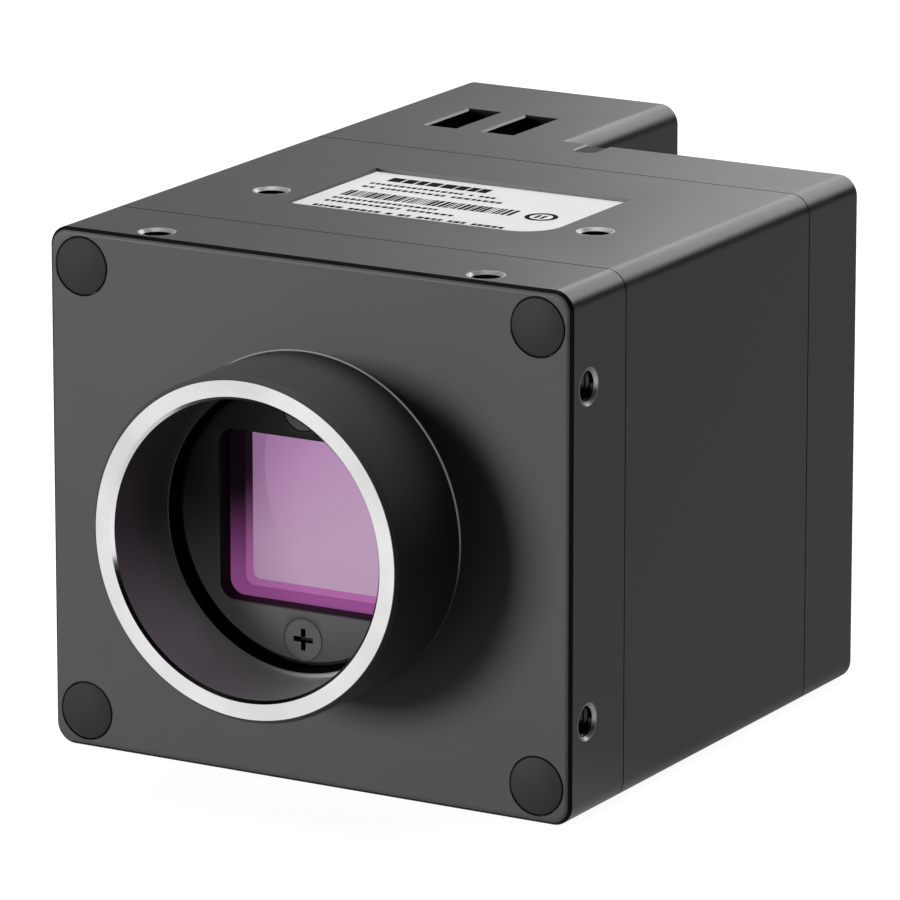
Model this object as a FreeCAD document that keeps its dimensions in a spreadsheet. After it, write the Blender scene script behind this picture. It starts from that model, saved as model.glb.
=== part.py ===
import FreeCAD, Part
import math
import os
import Sketcher

# Machine vision camera with a threaded lens barrel, a three-section metal
# housing and a rear block for the network port.
#
# Frame: millimetres, +Z up, +X to the right of somebody facing the lens,
# +Y from the lens towards the back. The origin is the centre of the lens
# barrel mouth, on the axis of the lens thread.

# Size sheet. A plain number is a driving size, a formula is worked out from
# the driving sizes above it.

SIZES = [
    # Housing sections, front to back.
    ("body_width", 80.0),
    ("body_height", 72.0),
    ("edge_radius", 2.8),
    ("front_chamfer", 0.6),
    ("seam_chamfer", 0.12),
    ("barrel_length", 16.0),
    ("front_depth", 14.5),
    ("middle_depth", 52.0),
    ("rear_depth", 14.2),
    ("block_depth", 29.8),
    ("seam_front_y", "=barrel_length + front_depth"),
    ("seam_rear_y", "=seam_front_y + middle_depth"),
    ("rear_y", "=seam_rear_y + rear_depth"),
    ("block_end_y", "=rear_y + block_depth"),
    # Rear block beside the flat part of the back.
    ("block_inset", 3.8),
    ("block_lift", 4.0),
    ("block_width", "=body_width / 2 - block_inset"),
    ("block_height", "=body_height / 2 - block_lift"),
    ("block_x", "=(block_width - body_width) / 2"),
    ("block_z", "=(body_height - block_height) / 2"),
    ("end_chamfer", 0.4),
    # Hollow inside the three sections.
    ("side_wall", 9.0),
    ("top_wall", 8.5),
    ("cavity_width", "=body_width - 2 * side_wall"),
    ("cavity_height", "=body_height - 2 * top_wall"),
    ("cavity_radius", 4.0),
    ("front_wall", 5.0),
    ("web_front_y", "=barrel_length + spigot_depth"),
    ("web_rear_y", "=barrel_length + front_wall"),
    ("front_lip_side", 1.0),
    ("front_lip_top", 0.5),
    ("front_cavity_width", "=cavity_width - 2 * front_lip_side"),
    ("front_cavity_height", "=cavity_height - 2 * front_lip_top"),
    ("front_cavity_depth", "=seam_front_y - web_rear_y"),
    ("back_wall", 4.0),
    ("rear_cavity_depth", "=rear_depth - back_wall"),
    ("back_wall_y", "=rear_y - back_wall"),
    ("block_side_wall", 4.5),
    ("block_top_wall", 4.75),
    ("bay_width", "=block_width - 2 * block_side_wall"),
    ("bay_height", "=block_height - 2 * block_top_wall"),
    ("bay_z", "=block_z"),
    ("bay_radius", 1.5),
    ("bay_depth", "=block_depth"),
    # Lens barrel.
    ("barrel_radius", 23.4),
    ("barrel_chamfer", 0.6),
    ("barrel_face_radius", "=barrel_radius - barrel_chamfer"),
    ("thread_radius", 20.2),
    ("mouth_chamfer", 0.4),
    ("mouth_radius", "=thread_radius + mouth_chamfer"),
    ("thread_depth", 13.0),
    ("step_radius", 19.7),
    ("spigot_radius", 22.0),
    ("spigot_depth", 3.0),
    ("seat_gap", 0.05),
    ("spigot_bore_radius", "=spigot_radius + seat_gap"),
    ("spigot_end_y", "=barrel_length + spigot_depth"),
    # Mask plate, filter holder and filter behind the mouth.
    ("mask_radius", 19.1),
    ("mask_thickness", 1.5),
    ("holder_thickness", 2.5),
    ("holder_y", "=web_front_y - holder_thickness"),
    ("mask_y", "=holder_y - mask_thickness"),
    ("opening_width", 26.0),
    ("opening_height", 23.4),
    ("opening_radius", 2.2),
    ("opening_bevel", 0.25),
    ("glass_width", 29.0),
    ("glass_height", 26.0),
    ("glass_thickness", 1.0),
    ("glass_gap", 0.1),
    ("glass_pocket_width", "=glass_width + 2 * glass_gap"),
    ("glass_pocket_height", "=glass_height + 2 * glass_gap"),
    ("glass_pocket_depth", "=glass_thickness + glass_gap"),
    ("glass_y", "=web_front_y - glass_pocket_depth"),
    ("mask_screw_z", 15.7),
    ("mask_screw_radius", 1.2),
    ("mask_screw_head", 2.85),
    ("mask_screw_rim", 0.1),
    ("mask_hole_radius", 1.6),
    ("mask_sink", "=mask_screw_head + seat_gap + mask_screw_rim - mask_hole_radius"),
    ("mask_cone_depth", 1.3),
    ("mask_head_height", "=mask_cone_depth + mask_screw_rim"),
    ("mask_head_end_y", "=mask_y + mask_head_height"),
    ("mask_screw_length", "=web_rear_y - mask_y - 0.3"),
    ("mask_tap_radius", "=mask_screw_radius + seat_gap"),
    ("cross_length", 3.0),
    ("cross_width", 0.7),
    ("cross_depth", 0.9),
    ("web_opening_width", 34.0),
    ("web_opening_height", 26.4),
    ("web_opening_radius", 1.5),
    # Image sensor and its board.
    ("sensor_size", 21.8),
    ("sensor_setback", 1.0),
    ("sensor_y", "=web_front_y + sensor_setback"),
    ("sensor_thickness", 0.5),
    ("package_width", 32.0),
    ("package_height", 25.6),
    ("package_pocket_width", 24.0),
    ("package_pocket_height", 22.8),
    ("package_pocket_depth", 0.7),
    ("package_y", "=sensor_y + sensor_thickness - package_pocket_depth"),
    ("package_depth", "=sensor_board_y - package_y"),
    ("cover_width", 28.0),
    ("cover_height", 24.4),
    ("cover_thickness", 0.5),
    ("cover_y", "=package_y - cover_thickness"),
    ("board_thickness", 1.6),
    ("spacer_length", 2.0),
    ("sensor_board_gap_side", 2.0),
    ("sensor_board_gap_top", 3.0),
    ("sensor_board_width", "=front_cavity_width - 2 * sensor_board_gap_side"),
    ("sensor_board_height", "=front_cavity_height - 2 * sensor_board_gap_top"),
    ("sensor_board_y", "=web_rear_y + spacer_length"),
    ("sensor_board_end_y", "=sensor_board_y + board_thickness"),
    ("pillar_inset_x", 7.0),
    ("pillar_inset_z", 7.5),
    ("pillar_x", "=cavity_width / 2 - pillar_inset_x"),
    ("pillar_z", "=cavity_height / 2 - pillar_inset_z"),
    ("spacer_radius", 2.4),
    ("board_hole_radius", 1.3),
    ("pillar_flat", 5.0),
    ("stud_radius", 0.95),
    ("stud_hole_radius", "=stud_radius + seat_gap"),
    ("stud_hole_depth", 3.0),
    ("stud_y", "=web_rear_y - stud_hole_depth + 0.3"),
    ("front_stud_length", "=sensor_board_end_y - stud_y"),
    ("pillar_hole_depth", 5.0),
    ("stud_reach", "=pillar_hole_depth + board_thickness - 0.3"),
    # Main board and what stands on it.
    ("front_pillar_length", 9.4),
    ("main_board_y", "=sensor_board_end_y + front_pillar_length"),
    ("main_board_end_y", "=main_board_y + board_thickness"),
    ("board_gap", 1.5),
    ("board_width", "=cavity_width - 2 * board_gap"),
    ("board_height", "=cavity_height - 2 * board_gap"),
    ("link_width", 24.0),
    ("link_height", 5.0),
    ("link_inset", 8.5),
    ("link_z", "=link_inset - cavity_height / 2"),
    ("plug_length", 4.9),
    ("socket_y", "=sensor_board_end_y + plug_length"),
    ("socket_length", "=front_pillar_length - plug_length"),
    ("chip_x", 9.0),
    ("chip_z", 6.0),
    ("chip_width", 11.0),
    ("chip_height", 8.0),
    ("chip_thickness", 1.2),
    ("chip_y", "=main_board_y - chip_thickness"),
    ("spreader_gap", 12.5),
    ("spreader_height", "=cavity_height - 2 * spreader_gap"),
    ("processor_inset", 1.5),
    ("processor_size", "=spreader_height - 2 * processor_inset"),
    ("processor_thickness", 3.0),
    ("pad_inset", 0.5),
    ("pad_size", "=processor_size - 2 * pad_inset"),
    ("pad_thickness", 1.0),
    ("pad_y", "=main_board_end_y + processor_thickness"),
    ("spreader_depth", 6.4),
    ("spreader_y", "=pad_y + pad_thickness"),
    # Network board, ribbon and link to the port board.
    ("network_board_inset", 7.5),
    ("network_board_y", "=seam_rear_y - network_board_inset"),
    ("network_board_end_y", "=network_board_y + board_thickness"),
    ("rear_pillar_length", "=network_board_y - main_board_end_y"),
    ("rear_stud_y", "=main_board_end_y - stud_reach"),
    ("board_screw_head", 2.2),
    ("board_screw_head_height", 1.6),
    ("board_screw_y", "=network_board_end_y - stud_reach"),
    ("board_screw_end_y", "=network_board_end_y + board_screw_head_height"),
    ("board_cross_length", 2.6),
    ("board_cross_width", 0.6),
    ("ribbon_width", 20.0),
    ("ribbon_thickness", 0.3),
    ("ribbon_inset", 6.5),
    ("ribbon_z", "=cavity_height / 2 - ribbon_inset"),
    ("ribbon_holder_width", 22.0),
    ("ribbon_holder_height", 4.0),
    ("ribbon_holder_depth", 3.4),
    ("ribbon_y", "=main_board_end_y + ribbon_holder_depth"),
    ("ribbon_length", "=rear_pillar_length - 2 * ribbon_holder_depth"),
    ("ribbon_rear_y", "=network_board_y - ribbon_holder_depth"),
    ("network_chip_size", 14.0),
    ("network_chip_x", 12.0),
    ("network_chip_z", -4.0),
    ("network_chip_thickness", 1.6),
    ("port_board_inset", 25.1),
    ("port_board_y", "=block_end_y - port_board_inset"),
    ("port_board_end_y", "=port_board_y + board_thickness"),
    ("port_board_gap_side", 1.1),
    ("port_board_gap_top", 0.75),
    ("port_board_width", "=bay_width - 2 * port_board_gap_side"),
    ("port_board_height", "=bay_height - 2 * port_board_gap_top"),
    ("header_width", 7.0),
    ("header_shift", 4.0),
    ("header_x", "=block_x + header_shift"),
    ("header_height", 3.0),
    ("header_inset", 2.75),
    ("header_z", "=bay_z - bay_height / 2 + header_inset"),
    ("header_length", "=port_board_y - network_board_end_y"),
    # Network port.
    ("port_hole_depth", "=back_wall + block_depth"),
    ("port_hole_width", 16.8),
    ("port_hole_height", 14.3),
    ("shield_width", 16.4),
    ("shield_height", 13.9),
    ("shield_wall", 0.3),
    ("shield_inner_width", "=shield_width - 2 * shield_wall"),
    ("shield_inner_height", "=shield_height - 2 * shield_wall"),
    ("shield_length", "=block_end_y - port_board_end_y - 0.2"),
    ("jack_width", "=shield_inner_width - 0.1"),
    ("jack_height", "=shield_inner_height - 0.1"),
    ("jack_length", "=shield_length - 0.3"),
    ("jack_end_y", "=port_board_end_y + jack_length"),
    ("socket_width", 11.8),
    ("socket_height", 6.9),
    ("socket_z", "=block_z + 1.4"),
    ("socket_depth", 14.5),
    ("latch_width", 6.2),
    ("latch_height", 2.2),
    ("latch_z", "=socket_z - (socket_height + latch_height) / 2"),
    ("tongue_width", 3.4),
    ("tongue_height", 1.7),
    ("tongue_z", "=latch_z - (latch_height + tongue_height) / 2"),
    ("contact_width", 0.45),
    ("contact_pitch", 1.02),
    ("contact_length", 11.0),
    ("contact_x1", "=block_x + (-3.5) * contact_pitch"),
    ("contact_x2", "=block_x + (-2.5) * contact_pitch"),
    ("contact_x3", "=block_x + (-1.5) * contact_pitch"),
    ("contact_x4", "=block_x + (-0.5) * contact_pitch"),
    ("contact_x5", "=block_x + (0.5) * contact_pitch"),
    ("contact_x6", "=block_x + (1.5) * contact_pitch"),
    ("contact_x7", "=block_x + (2.5) * contact_pitch"),
    ("contact_x8", "=block_x + (3.5) * contact_pitch"),
    ("contact_y", "=jack_end_y - 1.6 - contact_length"),
    ("contact_z", "=socket_z + socket_height / 2 - contact_width / 2"),
    # Two windows in the top of the block and the milled recess beside it.
    ("window_width", 4.9),
    ("window_length", 12.5),
    ("window_pitch", 9.3),
    ("window_front_gap", 0.1),
    ("window_y", "=rear_y + window_front_gap + window_length / 2"),
    ("window_left_x", "=block_x + 0.3 - window_pitch / 2"),
    ("window_right_x", "=block_x + 0.3 + window_pitch / 2"),
    ("window_wall", "=block_top_wall + 0.5"),
    ("window_chamfer", 0.35),
    ("recess_width", 3.8),
    ("recess_length", 5.2),
    ("recess_depth", 0.5),
    ("recess_radius", 1.3),
    ("recess_gap", 1.35),
    ("recess_left_x", "=block_width - body_width / 2 + recess_gap"),
    ("recess_right_x", "=recess_left_x + recess_width"),
    ("recess_front_y", "=rear_y - recess_length"),
    # Round power and signal receptacle, and the status light.
    ("receptacle_inset_x", 11.0),
    ("receptacle_inset_z", 13.5),
    ("receptacle_x", "=cavity_width / 2 - receptacle_inset_x"),
    ("receptacle_z", "=cavity_height / 2 - receptacle_inset_z"),
    ("receptacle_hole", 6.1),
    ("shell_radius", 5.9),
    ("shell_bore", 4.9),
    ("shell_length", 6.0),
    ("flange_radius", 8.0),
    ("flange_thickness", 2.0),
    ("shell_back", 2.0),
    ("shell_y", "=back_wall_y - shell_back"),
    ("shell_inner_length", "=rear_y + flange_thickness - shell_y"),
    ("flange_end_y", "=rear_y + flange_thickness"),
    ("insert_radius", "=shell_bore - seat_gap"),
    ("insert_length", 9.0),
    ("insert_end_y", "=shell_y + insert_length"),
    ("pin_radius", 0.35),
    ("pin_length", 3.0),
    ("pin_circle", 3.3),
    ("pin_inner_circle", 1.2),
    ("nut_flat", 14.0),
    ("nut_thickness", 1.8),
    ("nut_y", "=back_wall_y - nut_thickness"),
    ("nut_bore", "=shell_radius + seat_gap"),
    ("light_drop", 22.0),
    ("light_z", "=receptacle_z - light_drop"),
    ("light_radius", 1.5),
    ("light_hole", 1.6),
    ("light_proud", 0.3),
    ("light_length", "=back_wall + 1 + light_proud"),
    ("light_y", "=back_wall_y - 1"),
    # Long assembly screws and the plugs over their heads.
    ("screw_inset", 5.1),
    ("screw_x", "=body_width / 2 - screw_inset"),
    ("screw_z", "=body_height / 2 - screw_inset"),
    ("plug_radius", 3.9),
    ("plug_hole_radius", 4.03),
    ("plug_thickness", 1.8),
    ("plug_chamfer", 0.12),
    ("plug_hole_depth", 2.0),
    ("head_radius", 3.5),
    ("head_height", 4.0),
    ("head_hole_radius", 3.7),
    ("head_hole_depth", "=plug_hole_depth + head_height + 0.2"),
    ("head_y", "=barrel_length + head_hole_depth - head_height"),
    ("head_end_y", "=head_y + head_height"),
    ("hex_flat", 3.0),
    ("hex_depth", 2.0),
    ("shank_radius", 1.65),
    ("shank_hole_radius", 2.2),
    ("tap_radius", "=shank_radius + seat_gap"),
    ("tap_depth", 10.0),
    ("shank_end_y", "=seam_rear_y + tap_depth - 0.6"),
    ("shank_length", "=shank_end_y - head_end_y"),
    # Threaded mounting holes in the outside faces.
    ("mount_core_radius", 1.65),
    ("mount_depth", 6.0),
    ("mount_sink", 0.95),
    ("label_left_x", "=-body_width / 4 - 0.1"),
    ("label_right_x", "=body_width / 4"),
    ("mount_gap", 5.2),
    ("mount_x", "=label_right_x + mount_gap"),
    ("mount_front_y", "=barrel_length + 3.6"),
    ("mount_middle_y", "=barrel_length + 33"),
    ("side_mount_inset", 13.4),
    ("side_mount_z", "=body_height / 2 - side_mount_inset"),
    ("side_mount_y", "=barrel_length + 4.6"),
    ("far_mount_shift", 2.6),
    ("bottom_mount_x", "=mount_x - far_mount_shift"),
    ("left_mount_z", "=side_mount_z + far_mount_shift"),
    # Seals between the sections.
    ("seal_width", 1.4),
    ("groove_width", 1.6),
    ("groove_depth", 1.2),
    ("groove_inset", 2.0),
    ("groove_radius", 6.0),
    ("groove_outer_width", "=cavity_width + 2 * groove_inset + groove_width"),
    ("groove_outer_height", "=cavity_height + 2 * groove_inset + groove_width"),
    ("groove_inner_width", "=groove_outer_width - 2 * groove_width"),
    ("groove_inner_height", "=groove_outer_height - 2 * groove_width"),
    ("groove_inner_radius", "=groove_radius - groove_width"),
    ("seal_outer_width", "=groove_outer_width - groove_width + seal_width"),
    ("seal_outer_height", "=groove_outer_height - groove_width + seal_width"),
    ("seal_inner_width", "=seal_outer_width - 2 * seal_width"),
    ("seal_inner_height", "=seal_outer_height - 2 * seal_width"),
    ("seal_outer_radius", "=groove_radius - (groove_width - seal_width) / 2"),
    ("seal_inner_radius", "=seal_outer_radius - seal_width"),
    ("rear_groove_y", "=seam_rear_y - groove_depth"),
    # Label in its recess on top.
    ("label_front_y", "=barrel_length + 27.6"),
    ("label_rear_y", "=label_front_y + 24.9"),
    ("label_radius", 5.4),
    ("label_recess_depth", 0.7),
    ("label_gap", 0.12),
    ("label_thickness", 0.2),
    ("plate_left_x", "=label_left_x + label_gap"),
    ("plate_right_x", "=label_right_x - label_gap"),
    ("plate_front_y", "=label_front_y + label_gap"),
    ("plate_rear_y", "=label_rear_y - label_gap"),
    ("plate_radius", "=label_radius - label_gap"),
    ("label_floor_z", "=body_height / 2 - label_recess_depth"),
    ("half_width", "=body_width / 2"),
    ("half_height", "=body_height / 2"),
]

doc = FreeCAD.newDocument("machine_vision_camera")
sheet = doc.addObject("Spreadsheet::Sheet", "Sizes")
for row, (alias, content) in enumerate(SIZES, start=1):
    sheet.set("A%d" % row, alias)
    sheet.set("B%d" % row, str(content))
    sheet.setAlias("B%d" % row, alias)
doc.recompute()


def value(name):
    """Number behind a signed alias such as -screw_x, or a plain number."""
    if isinstance(name, (int, float)):
        return float(name)
    if name.startswith("-"):
        return -value(name[1:])
    got = sheet.get(name)
    return float(getattr(got, "Value", got))


def formula(name):
    """Expression text for a signed alias or a plain number."""
    if isinstance(name, (int, float)):
        return "%s" % float(name)
    if name.startswith("-"):
        return "-Sizes." + name[1:]
    return "Sizes." + name


NODES = []


def new_body(label):
    """Start a body whose label is the name of the node it becomes."""
    body = doc.addObject("PartDesign::Body", label)
    body.Label = label
    body.AllowCompound = True
    body.Placement = FreeCAD.Placement()
    NODES.append(body)
    return body


def new_sketch(body, name, role, level):
    """Sketch on an origin plane of the body, moved to a level along its axis.

    XZ_Plane sketches see X to the right and Z up and lie at y = level,
    XY_Plane ones lie at z = level and YZ_Plane ones at x = level.
    """
    sketch = body.newObject("Sketcher::SketchObject", body.Label + "_" + name)
    plane = [f for f in body.Origin.OriginFeatures if f.Role == role][0]
    sketch.AttachmentSupport = [(plane, "")]
    sketch.MapMode = "FlatFace"
    turn = "-(%s)" if role == "XZ_Plane" else "%s"
    sketch.setExpression("AttachmentOffset.Base.z", turn % formula(level))
    return sketch


def fix(sketch, kind, refs, text, number):
    """Add a dimension constraint and bind it to an expression."""
    index = sketch.addConstraint(Sketcher.Constraint(kind, *refs, number))
    sketch.setExpression("Constraints[%d]" % index, text)


def locate(sketch, kind, geo, point, text, number):
    """Place a point of the sketch at a distance from the sketch origin."""
    if abs(number) < 1e-9 and text in ("0.0", "-0.0"):
        axis = -2 if kind == "DistanceX" else -1
        sketch.addConstraint(Sketcher.Constraint("PointOnObject", geo, point, axis))
        return
    fix(sketch, kind, (-1, 1, geo, point), text, number)


def circle(sketch, x, y, radius):
    """Add one circle at (x, y)."""
    centre = FreeCAD.Vector(value(x), value(y), 0)
    ring = Part.Circle(centre, FreeCAD.Vector(0, 0, 1), value(radius))
    geo = sketch.addGeometry(ring, False)
    fix(sketch, "Radius", (geo,), formula(radius), value(radius))
    locate(sketch, "DistanceX", geo, 3, formula(x), value(x))
    locate(sketch, "DistanceY", geo, 3, formula(y), value(y))


def four_circles(sketch, x, y, radius):
    """Add a circle at each of the four mirrored places (+-x, +-y)."""
    for sx in ("", "-"):
        for sy in ("", "-"):
            circle(sketch, sx + x, sy + y, radius)


def polygon(sketch, corners):
    """Add a closed outline through corners given as pairs of names."""
    points = [FreeCAD.Vector(value(x), value(y), 0) for x, y in corners]
    count = len(points)
    base = sketch.GeometryCount
    for i in range(count):
        sketch.addGeometry(Part.LineSegment(points[i], points[(i + 1) % count]), False)
    for i in range(count):
        after = base + (i + 1) % count
        sketch.addConstraint(Sketcher.Constraint("Coincident", base + i, 2, after, 1))
    for i, (x, y) in enumerate(corners):
        locate(sketch, "DistanceX", base + i, 1, formula(x), value(x))
        locate(sketch, "DistanceY", base + i, 1, formula(y), value(y))


def rounded_outline(sketch, west, south, east, north, radii):
    """Add an upright rectangle with its own radius at each corner.

    The sides are (text, number) pairs. The radii run anticlockwise from the
    lower left corner. None stands for a sharp corner.
    """
    xs = (west[1], east[1])
    ys = (south[1], north[1])
    size = [0.0 if r is None else value(r) for r in radii]
    ends = [
        [(xs[0] + size[0], ys[0]), (xs[1] - size[1], ys[0])],
        [(xs[1], ys[0] + size[1]), (xs[1], ys[1] - size[2])],
        [(xs[1] - size[2], ys[1]), (xs[0] + size[3], ys[1])],
        [(xs[0], ys[1] - size[3]), (xs[0], ys[0] + size[0])],
    ]
    base = sketch.GeometryCount
    for start, stop in ends:
        line = Part.LineSegment(FreeCAD.Vector(*start, 0), FreeCAD.Vector(*stop, 0))
        sketch.addGeometry(line, False)
    for i, kind in enumerate(("Horizontal", "Vertical", "Horizontal", "Vertical")):
        sketch.addConstraint(Sketcher.Constraint(kind, base + i))
    centres = [
        (xs[0] + size[0], ys[0] + size[0], math.pi),
        (xs[1] - size[1], ys[0] + size[1], 1.5 * math.pi),
        (xs[1] - size[2], ys[1] - size[2], 0.0),
        (xs[0] + size[3], ys[1] - size[3], 0.5 * math.pi),
    ]
    for i, radius in enumerate(radii):
        before = base + (i + 3) % 4
        if radius is None:
            sketch.addConstraint(Sketcher.Constraint("Coincident", before, 2, base + i, 1))
            continue
        cx, cy, start = centres[i]
        ring = Part.Circle(FreeCAD.Vector(cx, cy, 0), FreeCAD.Vector(0, 0, 1), size[i])
        geo = sketch.addGeometry(Part.ArcOfCircle(ring, start, start + math.pi / 2), False)
        sketch.addConstraint(Sketcher.Constraint("Tangent", before, 2, geo, 1))
        sketch.addConstraint(Sketcher.Constraint("Tangent", geo, 2, base + i, 1))
        fix(sketch, "Radius", (geo,), formula(radius), size[i])
    fix(sketch, "DistanceY", (-1, 1, base, 1), south[0], south[1])
    fix(sketch, "DistanceX", (-1, 1, base + 1, 1), east[0], east[1])
    fix(sketch, "DistanceY", (-1, 1, base + 2, 1), north[0], north[1])
    fix(sketch, "DistanceX", (-1, 1, base + 3, 1), west[0], west[1])


def edge_pair(low, high):
    """Side of an outline at a named place."""
    return (formula(low), value(low)), (formula(high), value(high))


def rectangle(sketch, x, y, width, height, radius=None):
    """Add a rectangle by its centre and sizes, with one corner radius."""
    sides = []
    for middle, extent in ((x, width), (y, height)):
        for sign, word in ((-1, "-"), (1, "+")):
            text = "%s %s %s / 2" % (formula(middle), word, formula(extent))
            sides.append((text, value(middle) + sign * value(extent) / 2))
    rounded_outline(sketch, sides[0], sides[2], sides[1], sides[3], [radius] * 4)


def hexagon(sketch, x, y, flat):
    """Add a regular hexagon with two corners on the horizontal line."""
    corner = value(flat) / math.sqrt(3)
    count = sketch.GeometryCount
    points = []
    for i in range(6):
        angle = i * math.pi / 3
        spot = (value(x) + corner * math.cos(angle), value(y) + corner * math.sin(angle))
        points.append(FreeCAD.Vector(spot[0], spot[1], 0))
    for i in range(6):
        sketch.addGeometry(Part.LineSegment(points[i], points[(i + 1) % 6]), False)
    for i in range(6):
        after = count + (i + 1) % 6
        sketch.addConstraint(Sketcher.Constraint("Coincident", count + i, 2, after, 1))
    for i in range(6):
        angle = i * math.pi / 3
        reach = "%s / sqrt(3)" % formula(flat)
        across = "%s + %s * %.12f" % (formula(x), reach, math.cos(angle))
        up = "%s + %s * %.12f" % (formula(y), reach, math.sin(angle))
        fix(sketch, "DistanceX", (-1, 1, count + i, 1), across, points[i].x)
        fix(sketch, "DistanceY", (-1, 1, count + i, 1), up, points[i].y)


def four_hexagons(sketch, x, y, flat):
    """Add a hexagon at each of the four mirrored places."""
    for sx in ("", "-"):
        for sy in ("", "-"):
            hexagon(sketch, sx + x, sy + y, flat)


def pad(body, sketch, length):
    """Grow the sketch towards +Y for XZ sketches, along + for the others."""
    feature = body.newObject("PartDesign::Pad", sketch.Label + "_pad")
    feature.Profile = sketch
    feature.Type = 0
    feature.setExpression("Length", formula(length))
    feature.Reversed = "XZ_Plane" == sketch.AttachmentSupport[0][0].Role
    sketch.Visibility = False
    doc.recompute()
    return feature


def cut(body, sketch, depth, back=False):
    """Cut the sketch out, towards +Y, -Z or -X; back turns that round."""
    before = body.Shape.Volume
    feature = body.newObject("PartDesign::Pocket", sketch.Label + "_cut")
    feature.Profile = sketch
    feature.Type = 0
    feature.setExpression("Length", formula(depth))
    feature.Reversed = back
    sketch.Visibility = False
    doc.recompute()
    if not body.Shape.Volume < before - 1e-4:
        raise RuntimeError("nothing was removed by " + feature.Label)
    return feature


def bevel(body, picks, width):
    """Chamfer the edges for which picks(edge) is true."""
    tip = body.Tip
    names = ["Edge%d" % (i + 1) for i, e in enumerate(tip.Shape.Edges) if picks(e)]
    if not names:
        raise RuntimeError("no edge found to chamfer on " + body.Label)
    feature = body.newObject("PartDesign::Chamfer", body.Label + "_chamfer")
    feature.Base = (tip, names)
    feature.setExpression("Size", formula(width))
    doc.recompute()
    return feature


def revolve(body, sketch):
    """Turn an XY sketch about the Y axis of the body."""
    feature = body.newObject("PartDesign::Revolution", sketch.Label + "_turn")
    feature.Profile = sketch
    feature.ReferenceAxis = (sketch, ["V_Axis"])
    feature.Angle = 360
    sketch.Visibility = False
    doc.recompute()
    return feature


def outline_edge(level, width, height):
    """Picker for the outer outline of a section at y = level."""
    half_w = value(width) / 2
    half_h = value(height) / 2
    radius = value("edge_radius")
    place = value(level)

    def picks(edge):
        box = edge.BoundBox
        flat = abs(box.YMin - place) < 1e-4 and abs(box.YMax - place) < 1e-4
        if not flat:
            return False
        side = max(abs(box.XMin), abs(box.XMax)) > half_w - radius - 1e-4
        end = max(abs(box.ZMin), abs(box.ZMax)) > half_h - radius - 1e-4
        reach_x = max(abs(box.XMin), abs(box.XMax)) > half_w - 1e-4
        reach_z = max(abs(box.ZMin), abs(box.ZMax)) > half_h - 1e-4
        return (reach_x or reach_z) and (side or end)

    return picks


def circle_edge(axis, level, radius):
    """Picker for circular edges lying at a level along an axis."""
    place = value(level)
    size = value(radius)

    def picks(edge):
        curve = edge.Curve
        if curve.TypeId != "Part::GeomCircle" or abs(curve.Radius - size) > 1e-5:
            return False
        spot = {"X": curve.Center.x, "Y": curve.Center.y, "Z": curve.Center.z}[axis]
        return abs(spot - place) < 1e-4

    return picks


def block(label, x, z, width, height, y, depth, radius=None):
    """Body made by one rectangular pad that starts at y."""
    body = new_body(label)
    sketch = new_sketch(body, "outline", "XZ_Plane", y)
    rectangle(sketch, x, z, width, height, radius)
    pad(body, sketch, depth)
    return body


# Front housing

front = new_body("front_housing")
outline = new_sketch(front, "outline", "XZ_Plane", "barrel_length")
rectangle(outline, 0, 0, "body_width", "body_height", "edge_radius")
pad(front, outline, "front_depth")

spigot_bore = new_sketch(front, "spigot_bore", "XZ_Plane", "barrel_length")
circle(spigot_bore, 0, 0, "spigot_bore_radius")
cut(front, spigot_bore, "spigot_depth")

web_opening = new_sketch(front, "web_opening", "XZ_Plane", "barrel_length")
rectangle(web_opening, 0, 0, "web_opening_width", "web_opening_height", "web_opening_radius")
cut(front, web_opening, "front_wall")

front_cavity = new_sketch(front, "cavity", "XZ_Plane", "web_rear_y")
rectangle(front_cavity, 0, 0, "front_cavity_width", "front_cavity_height", "cavity_radius")
cut(front, front_cavity, "front_cavity_depth")

for name, radius, depth in (
    ("plug_holes", "plug_hole_radius", "plug_hole_depth"),
    ("head_holes", "head_hole_radius", "head_hole_depth"),
    ("shank_holes", "shank_hole_radius", "front_depth"),
):
    holes = new_sketch(front, name, "XZ_Plane", "barrel_length")
    four_circles(holes, "screw_x", "screw_z", radius)
    cut(front, holes, depth)

mask_taps = new_sketch(front, "mask_taps", "XZ_Plane", "web_front_y")
circle(mask_taps, 0, "mask_screw_z", "mask_tap_radius")
circle(mask_taps, 0, "-mask_screw_z", "mask_tap_radius")
cut(front, mask_taps, "front_wall")

stud_taps = new_sketch(front, "stud_taps", "XZ_Plane", "web_rear_y")
four_circles(stud_taps, "pillar_x", "pillar_z", "stud_hole_radius")
cut(front, stud_taps, "stud_hole_depth", back=True)


def mount_holes(body, name, role, level, spots, back):
    """Threaded mounting holes cut inwards from one outside face."""
    sketch = new_sketch(body, name, role, level)
    for x, y in spots:
        circle(sketch, x, y, "mount_core_radius")
    cut(body, sketch, "mount_depth", back)


top_front = [("mount_x", "mount_front_y"), ("-mount_x", "mount_front_y")]
top_middle = [("mount_x", "mount_middle_y"), ("-mount_x", "mount_middle_y")]
bottom_front = [("bottom_mount_x", "mount_front_y"), ("-bottom_mount_x", "mount_front_y")]
bottom_middle = [("bottom_mount_x", "mount_middle_y"), ("-bottom_mount_x", "mount_middle_y")]
right_side = [("side_mount_y", "side_mount_z"), ("side_mount_y", "-side_mount_z")]
left_side = [("side_mount_y", "left_mount_z"), ("side_mount_y", "-left_mount_z")]
mount_holes(front, "top_mounts", "XY_Plane", "half_height", top_front, False)
mount_holes(front, "bottom_mounts", "XY_Plane", "-half_height", bottom_front, True)
mount_holes(front, "right_mounts", "YZ_Plane", "half_width", right_side, False)
mount_holes(front, "left_mounts", "YZ_Plane", "-half_width", left_side, True)


def either(*picks):
    """Picker that accepts an edge when any of the given pickers does."""
    return lambda edge: any(pick(edge) for pick in picks)


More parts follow.
